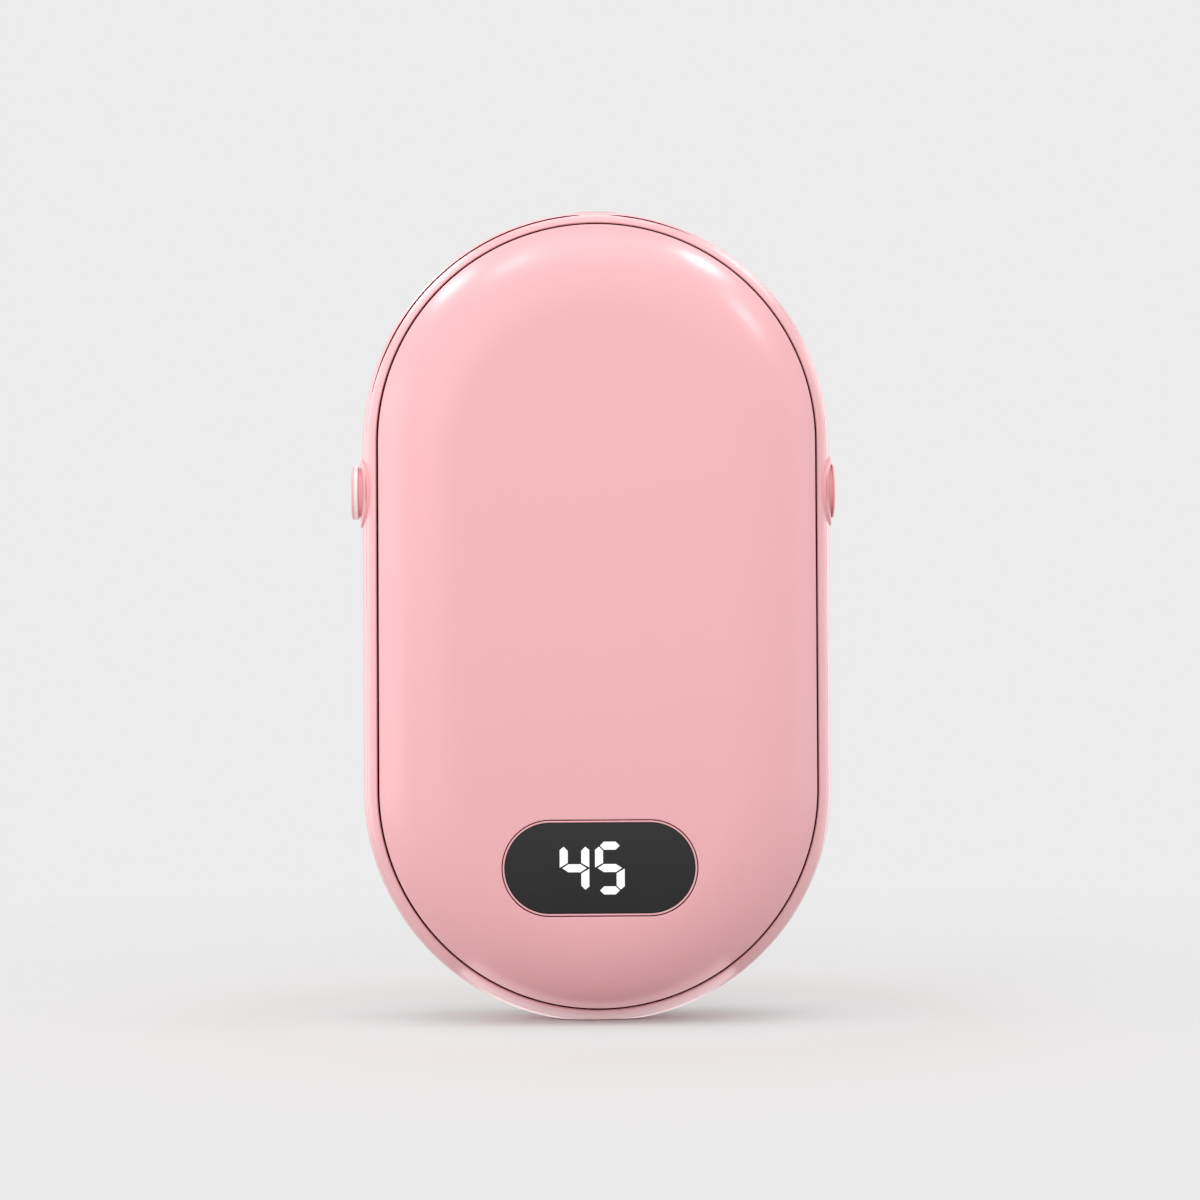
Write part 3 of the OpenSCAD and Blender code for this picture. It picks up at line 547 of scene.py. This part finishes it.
board = board_material()
steel = metal("steel", (0.62, 0.62, 0.63, 1.0), 0.3)
foil = metal("foil", (0.78, 0.78, 0.79, 1.0), 0.36, (30, 1, 1))
amber = soft_stuff("amber_film", (0.62, 0.25, 0.04, 1), (0.70, 0.30, 0.05, 1), 0.32, 500)
foam = soft_stuff("foam", (0.02, 0.02, 0.022, 1), (0.05, 0.05, 0.052, 1), 0.85, 2500)
red_wire = soft_stuff("wire_red", (0.50, 0.02, 0.02, 1), (0.42, 0.015, 0.015, 1), 0.45, 1200)
resin = soft_stuff("led_resin", (0.85, 0.82, 0.62, 1), (0.90, 0.88, 0.72, 1), 0.25, 900)
lens_mat = lens_material()
digit_mat = digit_material()

by_slot = {"body_plastic": pink, "panel_plastic": pink_panel, "accent_plastic": mauve, "lens": lens_mat,
           "digit": digit_mat, "white_plastic": white_plastic, "led": resin, "black_plastic": black_plastic,
           "board": board, "film": amber, "steel": steel, "plate": foil, "foam": foam, "wire": red_wire}
slot_of = {part["node"]: part["material_slot"] for part in frame["record"]["subparts"]}
for name, obj in nodes.items():
    obj.data.materials.clear()
    obj.data.materials.append(by_slot[slot_of[name]])

# Face panels. Within FACE_R of the section's axis a face is triangles, outside it rings.

FACE_R = 20.0
GRID_R = 17.0
GRID_EDGE = 16.6
GRID_STEP = 1.7
RING_STEP = 0.5
RING_CLEAR = 0.4
WINDOW_MARGIN = 3.6
WINDOW_RINGS = (0.3, 0.8, 1.5)


def edge_profile():
    """The panel's section from the ring FACE_R on the face, round its edge, to the ring on its inner side."""
    face = along_surface(surf_y(FACE_R), surf_y(PANEL_R), n=26)
    corner = len(face) - 1
    side_y = surf_y(PANEL_R) - PAINTED_SHADE_DEPTH
    pts = face + [(PANEL_R, -side_y), (PANEL_R, -SEAT_Y), (surf_r(SEAT_Y, -PANEL_T), -SEAT_Y)]
    # The corner on the face is rounded along the last stretch of the surface
    pts = rounded(pts, {corner: PANEL_ROUND, corner + 2: PANEL_BACK_ROUND}, 5)
    inner = along_surface(SEAT_Y, surf_y(FACE_R, -PANEL_T), grow=-PANEL_T, n=10)
    return pts + inner[1:]


def face_points(r_out, hole=None):
    """Points and triangles of the nearly flat middle of a face, with or without the window."""
    pts = [(r_out * dx, zc + r_out * dz) for zc, dx, dz in STATIONS]
    n_out = len(pts)
    edges = [(i, (i + 1) % n_out) for i in range(n_out)]
    if hole:
        w, h = hole
        start = len(pts)
        ring = pill_ring(w, h)
        pts += [(x, DISPLAY_Z + z) for x, z in ring]
        edges += [(start + i, start + (i + 1) % len(ring)) for i in range(len(ring))]
        for g in WINDOW_RINGS:
            pts += [(x, DISPLAY_Z + z) for x, z in pill_ring(w + 2 * g, h + 2 * g)
                    if oval_r(x, DISPLAY_Z + z) < r_out - RING_CLEAR]

    def clear(x, z):
        return not hole or not in_pill(x, z - DISPLAY_Z, hole[0] + WINDOW_MARGIN, hole[1] + WINDOW_MARGIN)

    r = r_out - RING_STEP
    while r > GRID_R:
        pts += [(r * dx, zc + r * dz) for zc, dx, dz in STATIONS if clear(r * dx, zc + r * dz)]
        r -= RING_STEP
    for i in range(-10, 11):
        for j in range(60):
            x, z = i * GRID_STEP, Z_LOW - GRID_R + j * GRID_STEP
            if oval_r(x, z) < GRID_EDGE and clear(x, z):
                pts.append((x, z))
    v, _, f, _, _, _ = delaunay_2d_cdt([Vector(p) for p in pts], edges, [], 0, 1e-5)
    keep = []
    for tri in f:
        cx = sum(v[i].x for i in tri) / len(tri)
        cz = sum(v[i].y for i in tri) / len(tri)
        if oval_r(cx, cz) > r_out:
            continue
        if hole and in_pill(cx, cz - DISPLAY_Z, hole[0] - 0.01, hole[1] - 0.01):
            continue
        keep.append(tri)
    return v, keep


def add_face(bm, r_out, lift, hole=None):
    """Adds a face's middle; lift gives its y by the distance from the section's axis."""
    v, tris = face_points(r_out, hole)
    bv = [bm.verts.new((p.x, lift(oval_r(p.x, p.y)), p.y)) for p in v]
    for t in tris:
        bm.faces.new([bv[i] for i in t])
    for spare in [vert for vert in bv if not vert.link_faces]:
        bm.verts.remove(spare)


def make_panel(name, window):
    bm = bmesh.new()
    rings = [ring_at(bm, r, y) for r, y in edge_profile()]
    bridge_all(bm, rings)
    if window:
        w, h = LENS_W + 2 * (BEZEL_W + BEZEL_GAP), LENS_H + 2 * (BEZEL_W + BEZEL_GAP)
        f = WINDOW_ROUND
        add_face(bm, FACE_R, lambda r: -surf_y(r), (w + 2 * f, h + 2 * f))
        shelf = (LENS_W - SHELF, LENS_H - SHELF)
        holes = []
        for k in range(5):
            a = math.pi / 2 * k / 4
            g = f * (1 - math.sin(a))
            drop = f * (1 - math.cos(a))
            outline = [(x, DISPLAY_Z + z) for x, z in pill_ring(w + 2 * g, h + 2 * g)]
            holes.append([bm.verts.new((x, drop - surf_y(oval_r(x, z)), z)) for x, z in outline])
        for y, pw, ph in ((LENS_BACK, w, h), (LENS_BACK, *shelf), (HALF_T - PANEL_T, *shelf)):
            holes.append([bm.verts.new((x, -y, DISPLAY_Z + z)) for x, z in pill_ring(pw, ph)])
        bridge_all(bm, holes)
        add_face(bm, FACE_R, lambda r: -surf_y(r, -PANEL_T), shelf)
    else:
        add_face(bm, FACE_R, lambda r: -surf_y(r))
        add_face(bm, FACE_R, lambda r: -surf_y(r, -PANEL_T))
        bmesh.ops.scale(bm, vec=(1, -1, 1), verts=bm.verts)
    stands_for = "front_panel" if window else "back_panel"
    obj = finish_mesh(bm, name, "case", pink_panel, [stands_for])
    # The panel's side, down in the gap, is painted dark red as shade, and the walls of the window's hole dark
    # maroon as shade
    lip_y = surf_y(PANEL_R) - PAINTED_SHADE_DEPTH - 0.02
    paint(obj, lambda x, y, z: oval_r(x, z) > PANEL_R - 0.03 and SEAT_Y - 0.2 < abs(y) < lip_y, gap_shade)
    if window:
        paint(obj, lambda x, y, z: -HALF_T + 0.1 < y < -LENS_BACK + 0.02
              and in_pill(x, z - DISPLAY_Z, w + 0.05, h + 0.05), shade)


make_panel("front_face", True)
make_panel("back_face", False)

# Housings. A little more than FLAT_R, so that the deck stops short of the flat of the face.

DECK_END = FLAT_R + 0.01


def housing_profile(wall_y, groove_half, groove_d):
    """Closed section of a housing, from the deck's outer middle round to its inner middle, front half.

    wall_y is the depth where the wall ends: SEAM_Y for the front housing, -SEAM_Y for the back one."""
    lip_y = surf_y(RIM_R)
    deck_top = along_surface(surf_y(DECK_END, -DECK_OUT), SEAT_Y, grow=-DECK_OUT, n=8)
    groove = wall_y + groove_half
    pts = deck_top + [(RIM_R, -SEAT_Y)]
    lip = len(pts)
    pts.append((RIM_R, -lip_y))
    skin_y = surf_y(RIM_R + LIP_RUN)
    if wall_y > 0:
        pts += along_surface(skin_y, groove, n=12)
    else:
        pts += along_surface(skin_y, 0, n=24)
        pts += [(r, -y) for r, y in along_surface(0, -groove, n=12)[1:]]
    edge = len(pts) - 1
    pts += [(surf_r(groove, -groove_d), -groove), (surf_r(wall_y, -groove_d), -wall_y),
            (surf_r(wall_y, -WALL_T), -wall_y)]
    if wall_y > 0:
        inside = along_surface(wall_y, SEAT_Y - LEDGE_T, grow=-WALL_T, n=3)[1:]
    else:
        inside = [(r, -y) for r, y in along_surface(-wall_y, 0, grow=-WALL_T, n=4)[1:]]
        inside += along_surface(0, SEAT_Y - LEDGE_T, grow=-WALL_T, n=5)[1:]
    pts += inside
    pts += along_surface(SEAT_Y - LEDGE_T, surf_y(DECK_END, -DECK_IN), grow=-DECK_IN, n=8)
    pts = rounded(pts, {edge: groove_half / 2.5}, 5)
    return rounded(pts, {lip: LIP_ROUND}, 10, 0.9)


def pill_solid(bm, w, h, at, lo, hi, axis):
    """A closed oval prism used as a cutter: axis y runs lo to hi along Y, axis z along Z.

    at is its middle across the axis."""
    rings = []
    for t in (lo, hi):
        if axis == "y":
            rings.append([bm.verts.new((at[0] + x, t, at[1] + z)) for x, z in pill_ring(w, h)])
        else:
            rings.append([bm.verts.new((at[0] + x, at[1] + z, t)) for x, z in pill_ring(w, h)])
    bridge_all(bm, rings)
    bm.faces.new(rings[0])
    bm.faces.new(rings[1][::-1])


def circle(r, n):
    return [(r * math.cos(2 * math.pi * k / n), r * math.sin(2 * math.pi * k / n)) for k in range(n)]


def rod_solid(bm, d, x0, x1, z, n=64):
    """A closed round rod used as a cutter, along X."""
    rings = [[bm.verts.new((x, a, z + b)) for a, b in circle(d / 2, n)] for x in (x0, x1)]
    bridge_all(bm, rings)
    bm.faces.new(rings[0])
    bm.faces.new(rings[1][::-1])


def cut(obj, makers):
    """Subtracts the solids that the makers build, one at a time, and keeps the result as the mesh."""
    for make in makers:
        bm = bmesh.new()
        make(bm)
        bmesh.ops.recalc_face_normals(bm, faces=bm.faces)
        bmesh.ops.scale(bm, vec=(MM, MM, MM), verts=bm.verts)
        mesh = bpy.data.meshes.new("cutter")
        bm.to_mesh(mesh)
        bm.free()
        cutter = bpy.data.objects.new("cutter", mesh)
        scene.collection.objects.link(cutter)
        mod = obj.modifiers.new("cut", "BOOLEAN")
        mod.operation = "DIFFERENCE"
        mod.solver = "EXACT"
        mod.object = cutter
        dg = bpy.context.evaluated_depsgraph_get()
        new = bpy.data.meshes.new_from_object(obj.evaluated_get(dg))
        obj.modifiers.clear()
        old = obj.data
        obj.data = new
        bpy.data.meshes.remove(old)
        bpy.data.objects.remove(cutter)
        bpy.data.meshes.remove(mesh)
    smooth(obj.data)


def make_housing(name, wall_y, back):
    bm = bmesh.new()
    fine = housing_profile(wall_y, HAIRLINE, HAIRLINE_D)
    full = housing_profile(wall_y, GROOVE_BACK if back else GROOVE_FRONT, GROOVE_D)
    rings = [ring_between(bm, a, b) for a, b in zip(fine, full)]
    bridge_all(bm, rings)
    bm.faces.new(rings[0])
    bm.faces.new(rings[-1][::-1])
    if back:
        bmesh.ops.scale(bm, vec=(1, -1, 1), verts=bm.verts)
    bmesh.ops.recalc_face_normals(bm, faces=bm.faces)
    geom = bm.verts[:] + bm.edges[:] + bm.faces[:]
    # The foot: what is below the origin goes, and the cut is closed
    bmesh.ops.bisect_plane(bm, geom=geom, dist=1e-6, plane_co=(0, 0, 0), plane_no=(0, 0, -1),
                           clear_outer=True)
    bmesh.ops.holes_fill(bm, edges=[e for e in bm.edges if len(e.link_faces) == 1], sides=0)
    stands_for = "back_housing" if back else "front_housing"
    obj = finish_mesh(bm, name, "case", pink, [stands_for])
    side = 1 if back else -1

    def in_gap(x, y, z):
        return oval_r(x, z) < RIM_R + 0.02 and side * y > SEAT_Y - 0.05

    def in_seam(x, y, z):
        r = oval_r(x, z)
        near_seam = -GROOVE_FRONT - 0.03 < y + SEAM_Y < GROOVE_BACK + 0.03 and r < surf_r(y) - 0.02
        return near_seam and seam_share(x / r, (z - Z_HIGH) / r) > PAINTED_SHADE_SHARE

    # The walls of the gap round the panel are painted dark red as shade, and the seam's groove, where it is
    # open, dark maroon as shade
    paint(obj, in_gap, gap_shade)
    paint(obj, in_seam, shade)
    return obj


def side_cut(side, d, depth):
    """A cutter for a round hole in a side of the rim, where its button is."""
    return lambda bm: rod_solid(bm, d, side * (HALF_W - depth), side * (HALF_W + OVERRUN), BUTTON_Z)


def window_cut(bm):
    pill_solid(bm, LENS_W - SHELF, LENS_H - SHELF, (0, DISPLAY_Z), *WINDOW_CUT_Y, "y")


def socket_cut(bm):
    pill_solid(bm, SOCKET_HOLE_W, SOCKET_HOLE_H, (0, 0), -1, SOCKET_HOLE_DEPTH, "z")


def power_cut(bm):
    pill_solid(bm, POWER_HOLE_W, POWER_HOLE_D, (0, 0), TOP_Z - POWER_HOLE_DEPTH, TOP_Z + OVERRUN, "z")


seats = [side_cut(side, COLLAR_HOLE, COLLAR_DEPTH) for side in (-1, 1)]
sleeves = [side_cut(side, SLEEVE_HOLE, SLEEVE_HOLE_DEPTH) for side in (-1, 1)]
front_rim = make_housing("front_rim", SEAM_Y, False)
cut(front_rim, seats + [window_cut])
back_rim = make_housing("back_rim", -SEAM_Y, True)
cut(back_rim, seats + sleeves + [socket_cut, power_cut])

# Display bezel and lens


def ring_stack(bm, steps):
    """Rings of oval outlines (width, height, y) about the display's middle."""
    rings = []
    for w, h, y in steps:
        rings.append([bm.verts.new((x, y, DISPLAY_Z + z)) for x, z in pill_ring(w, h, 36, 14)])
    return rings


def make_bezel():
    bm = bmesh.new()
    ow, oh = LENS_W + 2 * BEZEL_W, LENS_H + 2 * BEZEL_W
    f = BEZEL_ROUND
    steps = [(ow, oh, -LENS_BACK)]
    for k in range(5):
        a = math.pi / 2 * k / 4
        g = 2 * f * (1 - math.cos(a))
        steps.append((ow - g, oh - g, -HALF_T + f * (1 - math.sin(a))))
    for k in range(5):
        a = math.pi / 2 * k / 4
        g = 2 * f * (1 - math.sin(a))
        steps.append((LENS_W + g, LENS_H + g, -HALF_T + f * (1 - math.cos(a))))
    steps.append((LENS_W, LENS_H, -LENS_BACK))
    bridge_all(bm, ring_stack(bm, steps), close=True)
    finish_mesh(bm, "bezel_lip", "case", pink, ["display_bezel"])


make_bezel()


def make_lens():
    bm = bmesh.new()
    w, h = LENS_W - LENS_PLAY, LENS_H - LENS_PLAY
    f = LENS_ROUND
    # The digits' strokes stand proud of the face
    face = LENS_FRONT - DIGIT_PROUD
    steps = [(w, h, -LENS_BACK)]
    for k in range(4):
        a = math.pi / 2 * k / 3
        g = 2 * f * (1 - math.cos(a))
        steps.append((w - g, h - g, -face + f * (1 - math.sin(a))))
    steps.append((w - 2 * f - LENS_MARGIN, h - 2 * f - LENS_MARGIN, -face))
    rings = ring_stack(bm, steps)
    bridge_all(bm, rings)
    bm.faces.new(rings[0])
    bm.faces.new(rings[-1][::-1])
    finish_mesh(bm, "lens_window", "case", lens_mat, ["display_lens"])


make_lens()

# Side buttons, turned about the X axis


def lathe(bm, profile, side, n=96, bend=0.0, bend_from=0.0):
    """Turns a profile about a side button's axis.

    profile is (distance out from the side, radius); a radius of 0 closes the end.
    Points further out than bend_from follow the body's curve by the share bend."""
    rings = []
    for out, r in profile:
        if r <= 0:
            rings.append([bm.verts.new((side * (HALF_W + out), 0, BUTTON_Z))])
            continue
        ring = []
        for y, z in circle(r, n):
            drop = bend * (HALF_W - surf_r(y)) if out > bend_from else 0.0
            ring.append(bm.verts.new((side * (HALF_W + out - drop), y, BUTTON_Z + z)))
        rings.append(ring)
    for a, b in zip(rings, rings[1:]):
        for i in range(n):
            j = (i + 1) % n
            if len(a) == 1:
                bm.faces.new((a[0], b[i], b[j]))
            elif len(b) == 1:
                bm.faces.new((a[i], a[j], b[0]))
            else:
                bm.faces.new((a[i], a[j], b[j], b[i]))


def arc(c_out, c_r, a_out, a_r, start, stop, n=10):
    """Points of a stretch of an ellipse in a profile, by angle from the outward direction, in degrees."""
    out = []
    for i in range(n + 1):
        t = math.radians(start + (stop - start) * i / n)
        out.append((c_out + a_out * math.cos(t), c_r + a_r * math.sin(t)))
    return out


def make_side_button(side):
    word, (under, face, band) = ("left", LEFT_HEAD) if side < 0 else ("right", RIGHT_HEAD)
    # A plunger with its snap end, a neck, and a head that overhangs it. Only the left head has a band,
    # painted pale as a highlight.
    bm = bmesh.new()
    snap_out = SNAP_T - SNAP_DEPTH
    neck_out = under - NECK_ROUND
    profile = [(-SNAP_DEPTH, 0), (-SNAP_DEPTH, SNAP_R - SNAP_CHAMFER / 2),
               (SNAP_CHAMFER - SNAP_DEPTH, SNAP_R), (snap_out, SNAP_R), (snap_out, STEM_R),
               (-NECK_DEPTH, STEM_R), (-NECK_DEPTH, NECK_R), (neck_out, NECK_R)]
    f = NECK_ROUND
    profile += arc(neck_out, NECK_R + f, f, f, -90, 0, 4)[1:]
    f = HEAD_UNDER_ROUND
    profile += arc(under + f, HEAD_R - f, f, f, 180, 90, 5)
    if band:
        profile += [(under + BAND_START, HEAD_R), (under + BAND_START + band, HEAD_R)]
    f = min(HEAD_ROUND, (face - under) / 2)
    profile += arc(face - f, HEAD_R - f, f, f, 90, 8, 8)
    profile += [(face - CROWN, CROWN_R), (face, FLAT_FACE_R), (face, 0)]
    lathe(bm, profile, side)
    cap = finish_mesh(bm, word + "_cap", word + "_push", pink, [word + "_button"], merge=1e-5)

    def on_highlight_band(x, y, z):
        out = abs(x) - HALF_W - under
        return BAND_START < out < BAND_START + band and math.hypot(y, z - BUTTON_Z) > HEAD_R - 0.2

    # The band on the head's side is painted pale as a highlight
    paint(cap, on_highlight_band, painted_highlight)
    # The collar follows the body's side, with a recess that the head sinks into when it is pressed
    bm = bmesh.new()
    profile = [(-SLEEVE_DEPTH, SLEEVE_HOLE_R), (-SLEEVE_DEPTH, SLEEVE_R), (-COLLAR_DEPTH, SLEEVE_R),
               (-COLLAR_DEPTH, COLLAR_R), (-COLLAR_STRAIGHT, COLLAR_R)]
    f = COLLAR_ROUND
    profile += arc(COLLAR_PROUD - f, COLLAR_R - f, f, f, 90, 0, 6)
    f = RECESS_ROUND
    profile += arc(COLLAR_PROUD - f, RECESS_R + f, f, f, 0, -90, 4)
    profile += [(-RECESS_DEPTH, RECESS_R), (-RECESS_DEPTH, WELL_R), (-WELL_DEPTH, WELL_R),
                (-WELL_DEPTH, SLEEVE_HOLE_R), (-SLEEVE_DEPTH, SLEEVE_HOLE_R)]
    lathe(bm, profile, side, bend=COLLAR_BEND, bend_from=-COLLAR_STRAIGHT / 2)
    base = finish_mesh(bm, word + "_base", "case", pink, [word + "_collar"], merge=1e-5)

    def in_well(x, y, z):
        return abs(x) < HALF_W - 0.3 and math.hypot(y, z - BUTTON_Z) < WELL_R - 0.02

    # The well inside the collar is painted dark maroon as shade
    paint(base, in_well, shade)


for button_side in (-1, 1):
    make_side_button(button_side)

# Power button, whose top follows the body


def make_power():
    bm = bmesh.new()
    w, d, f = POWER_W, POWER_D, POWER_ROUND

    def top(x, y):
        return Z_HIGH + math.sqrt(surf_r(y, POWER_PROUD) ** 2 - x ** 2)

    pts = []
    ring0 = pill_ring(w - 2 * f, d - 2 * f)
    pts += ring0
    edges = [(i, (i + 1) % len(ring0)) for i in range(len(ring0))]
    for g in POWER_RINGS:
        pts += pill_ring(w - 2 * f - 2 * g, max(POWER_RING_MIN, d - 2 * f - 2 * g))
    v, _, tris, _, _, _ = delaunay_2d_cdt([Vector(p) for p in pts], edges, [], 0, 1e-5)
    bv = [bm.verts.new((p.x, p.y, top(p.x, p.y))) for p in v]
    for t in tris:
        bm.faces.new([bv[i] for i in t])
    rings = []
    for k in range(5):
        a = math.pi / 2 * k / 4
        g = f * (1 - math.sin(a))
        rings.append([bm.verts.new((x, y, top(x, y) - f * (1 - math.cos(a))))
                      for x, y in pill_ring(w - 2 * g, d - 2 * g)])
    flange = (w + 2 * POWER_FLANGE, d + 2 * POWER_FLANGE)
    flange_z = TOP_Z - POWER_DEPTH
    for z, pw, pd in ((flange_z, w, d), (flange_z, *flange), (flange_z - POWER_FLANGE_T, *flange)):
        rings.append([bm.verts.new((x, y, z)) for x, y in pill_ring(pw, pd)])
    bridge_all(bm, rings)
    bm.faces.new(rings[-1])
    finish_mesh(bm, "power_cap", "power_push", mauve, ["power_button"], merge=1e-5)


make_power()

# Camera, fitted to the photograph

cam_data = bpy.data.cameras.new("camera")
cam = bpy.data.objects.new("camera", cam_data)
scene.collection.objects.link(cam)
scene.camera = cam
cam_data.sensor_width = 36.0
cam_data.lens = 105.0
cam_data.clip_start = 0.01
cam_data.clip_end = 20.0
# The fit's turns in degrees about its upright, level and depth axes, and its shift in millimetres
YAW, LEAN, ROLL = math.radians(1.25), math.radians(-1.146), math.radians(0.28)
SHIFT = Vector((-0.47, -2.28, -495.2))


def rot(axis, a):
    return Matrix.Rotation(a, 3, axis)


# In the fit, x is right, y is up and z is towards the viewer, from the middle of the body
fit = rot("Y", YAW) @ rot("X", LEAN) @ rot("Z", ROLL)
inv = fit.transposed()
swap = Matrix(((1, 0, 0), (0, 0, -1), (0, 1, 0)))
place = inv @ (-SHIFT)
origin = Vector((0.0, 0.0, (Z_LOW + Z_HIGH) / 2))
world_pos = (swap @ place + origin) * MM
world_rot = swap @ inv
cam.matrix_world = Matrix.Translation(world_pos) @ world_rot.to_4x4()

# Floor: it fades into the plain background away from the warmer. From here on lengths are in metres.

BACKDROP = grey(236)
FLOOR_R = 1.4
FLOOR_RINGS = 30
FLOOR = 0.79
FLOOR_BOUNCE = 0.53
# Close to the foot the floor is painted cooler, a tint that offsets the pink light the warmer bounces onto it
FLOOR_AT_FOOT = (0.81, 0.90, 0.895, 1)
AT_FOOT = (0.012, 0.05)
FADE = (0.06, 0.30)


def make_floor():
    """A disc whose colour is painted cooler close to the foot, against the pink light the warmer bounces
    there, and which bounces less light than it shows.
    """
    bm = bmesh.new()
    rings = []
    for j in range(1, FLOOR_RINGS + 1):
        r = FLOOR_R * (j / FLOOR_RINGS) ** 2
        rings.append([bm.verts.new((x, y, 0.0)) for x, y in circle(r, 96)])
    bm.faces.new(rings[0])
    bridge_all(bm, rings)
    mesh = bpy.data.meshes.new("floor")
    bm.to_mesh(mesh)
    bm.free()
    obj = bpy.data.objects.new("floor", mesh)
    scene.collection.objects.link(obj)
    m = Mat("floor_pale")
    pale = (FLOOR, FLOOR, FLOOR, 1)
    seen = m.mix(m.span(m.noise(3, 2), 0, 1), pale, tint(pale, 0.99))
    length = m.n.new("ShaderNodeVectorMath")
    length.operation = "LENGTH"
    m.link(m.coord.outputs["Object"], length.inputs[0])
    near = m.span(length.outputs["Value"], 1.0, 0.0, *AT_FOOT)
    seen = m.mix(near, seen, FLOOR_AT_FOOT)
    path = m.n.new("ShaderNodeLightPath")
    m.link(m.mix(path.outputs["Is Diffuse Ray"], seen, (FLOOR_BOUNCE, FLOOR_BOUNCE, FLOOR_BOUNCE, 1)),
           m.p.inputs["Base Color"])
    m.set(Roughness=0.9)
    m.p.inputs["Specular IOR Level"].default_value = 0.1
    clear = m.n.new("ShaderNodeBsdfTransparent")
    mixer = m.n.new("ShaderNodeMixShader")
    fade = m.n.new("ShaderNodeMapRange")
    fade.interpolation_type = "SMOOTHSTEP"
    fade.inputs["From Min"].default_value, fade.inputs["From Max"].default_value = FADE
    m.link(length.outputs["Value"], fade.inputs["Value"])
    m.link(fade.outputs[0], mixer.inputs[0])
    m.link(m.p.outputs[0], mixer.inputs[1])
    m.link(clear.outputs[0], mixer.inputs[2])
    m.link(mixer.outputs[0], m.out.inputs[0])
    mesh.materials.append(m.m)


make_floor()

# World: the plain backdrop for the camera, gloss and glass, and a soft white room for everything else.
# The room has a level of its own, and more light from the back, the left and the front.

ROOM = 0.65
ROOM_BACK = 0.32
ROOM_LEFT = 0.43
ROOM_FRONT = 0.72


def make_room():
    world = bpy.data.worlds.new("room")
    scene.world = world
    world.use_nodes = True
    t = world.node_tree
    t.nodes.clear()

    def math_node(kind, a, b):
        n = t.nodes.new("ShaderNodeMath")
        n.operation = kind
        for i, v in enumerate((a, b)):
            if isinstance(v, (int, float)):
                n.inputs[i].default_value = v
            else:
                t.links.new(v, n.inputs[i])
        return n.outputs[0]

    coord = t.nodes.new("ShaderNodeTexCoord")
    sep = t.nodes.new("ShaderNodeSeparateXYZ")
    t.links.new(coord.outputs["Generated"], sep.inputs[0])
    level = ROOM
    for axis, sign, share in ((0, -1, ROOM_LEFT), (1, -1, ROOM_FRONT), (1, 1, ROOM_BACK)):
        lit = math_node("MAXIMUM", math_node("MULTIPLY", sep.outputs[axis], sign), 0.0)
        level = math_node("ADD", math_node("MULTIPLY", lit, share), level)
    soft = t.nodes.new("ShaderNodeBackground")
    t.links.new(level, soft.inputs["Strength"])
    plain = t.nodes.new("ShaderNodeBackground")
    plain.inputs["Color"].default_value = BACKDROP
    path = t.nodes.new("ShaderNodeLightPath")
    seen = math_node("MAXIMUM", path.outputs["Is Camera Ray"],
                     math_node("MAXIMUM", path.outputs["Is Glossy Ray"], path.outputs["Is Transmission Ray"]))
    mixer = t.nodes.new("ShaderNodeMixShader")
    t.links.new(seen, mixer.inputs[0])
    t.links.new(soft.outputs[0], mixer.inputs[1])
    t.links.new(plain.outputs[0], mixer.inputs[2])
    out = t.nodes.new("ShaderNodeOutputWorld")
    t.links.new(mixer.outputs[0], out.inputs[0])


make_room()

# Lights: softboxes that light the warmer, then ones that are only seen in its gloss


def soft_light(name, at, aim, size, power, gloss_only=False):
    """A rectangular softbox that points at aim; a gloss-only one shows in reflections and lights nothing."""
    data = bpy.data.lights.new(name, "AREA")
    data.shape = "RECTANGLE"
    data.size, data.size_y = size
    data.energy = power
    obj = bpy.data.objects.new(name, data)
    scene.collection.objects.link(obj)
    obj.location = at
    obj.visible_camera = False
    obj.visible_diffuse = not gloss_only
    obj.rotation_euler = (Vector(aim) - Vector(at)).to_track_quat("-Z", "Y").to_euler()


AIM = (0, 0, 0.06)
UPPER = (0, -0.01, 0.10)
soft_light("top", (0, -0.15, 0.85), AIM, (0.70, 0.60), 1.63)
soft_light("left", (-0.75, 0.0, 0.10), AIM, (0.40, 0.60), 0.99)
soft_light("right", (0.75, 0.0, 0.10), AIM, (0.40, 0.60), 0.50)
soft_light("front_left", (-0.50, -0.62, 0.24), AIM, (0.40, 0.50), 0.36)
soft_light("upper_right", (0.40, 0.0, 0.60), AIM, (0.40, 0.40), 0.28)
soft_light("glint_a", (-0.392, 0.112, 0.557), UPPER, (0.06, 0.10), 0.70, True)
soft_light("glint_b", (-0.240, -0.112, 0.652), UPPER, (0.08, 0.12), 0.35, True)
soft_light("glint_c", (0.309, 0.063, 0.621), UPPER, (0.05, 0.10), 0.87, True)
soft_light("glint_d", (0.458, -0.137, 0.488), UPPER, (0.08, 0.12), 0.44, True)
soft_light("rim_left", (-0.53, 0.62, 0.10), AIM, (0.14, 0.50), 0.52, True)
soft_light("rim_upper_left", (-0.36, 0.60, 0.50), UPPER, (0.16, 0.20), 0.75, True)
soft_light("rim_top", (0, 0.62, 0.57), UPPER, (0.30, 0.12), 0.25, True)
soft_light("rim_upper_right", (0.34, 0.62, 0.52), UPPER, (0.20, 0.18), 0.34, True)
soft_light("rim_right", (0.46, 0.69, 0.10), AIM, (0.14, 0.50), 0.55, True)
soft_light("halo", (0, 0.90, 0.20), UPPER, (0.60, 0.50), 0.06, True)
soft_light("under", (0, 0, 0.0001), AIM, (0.048, 0.015), 0.0038, True)

scene.view_settings.view_transform = "Standard"
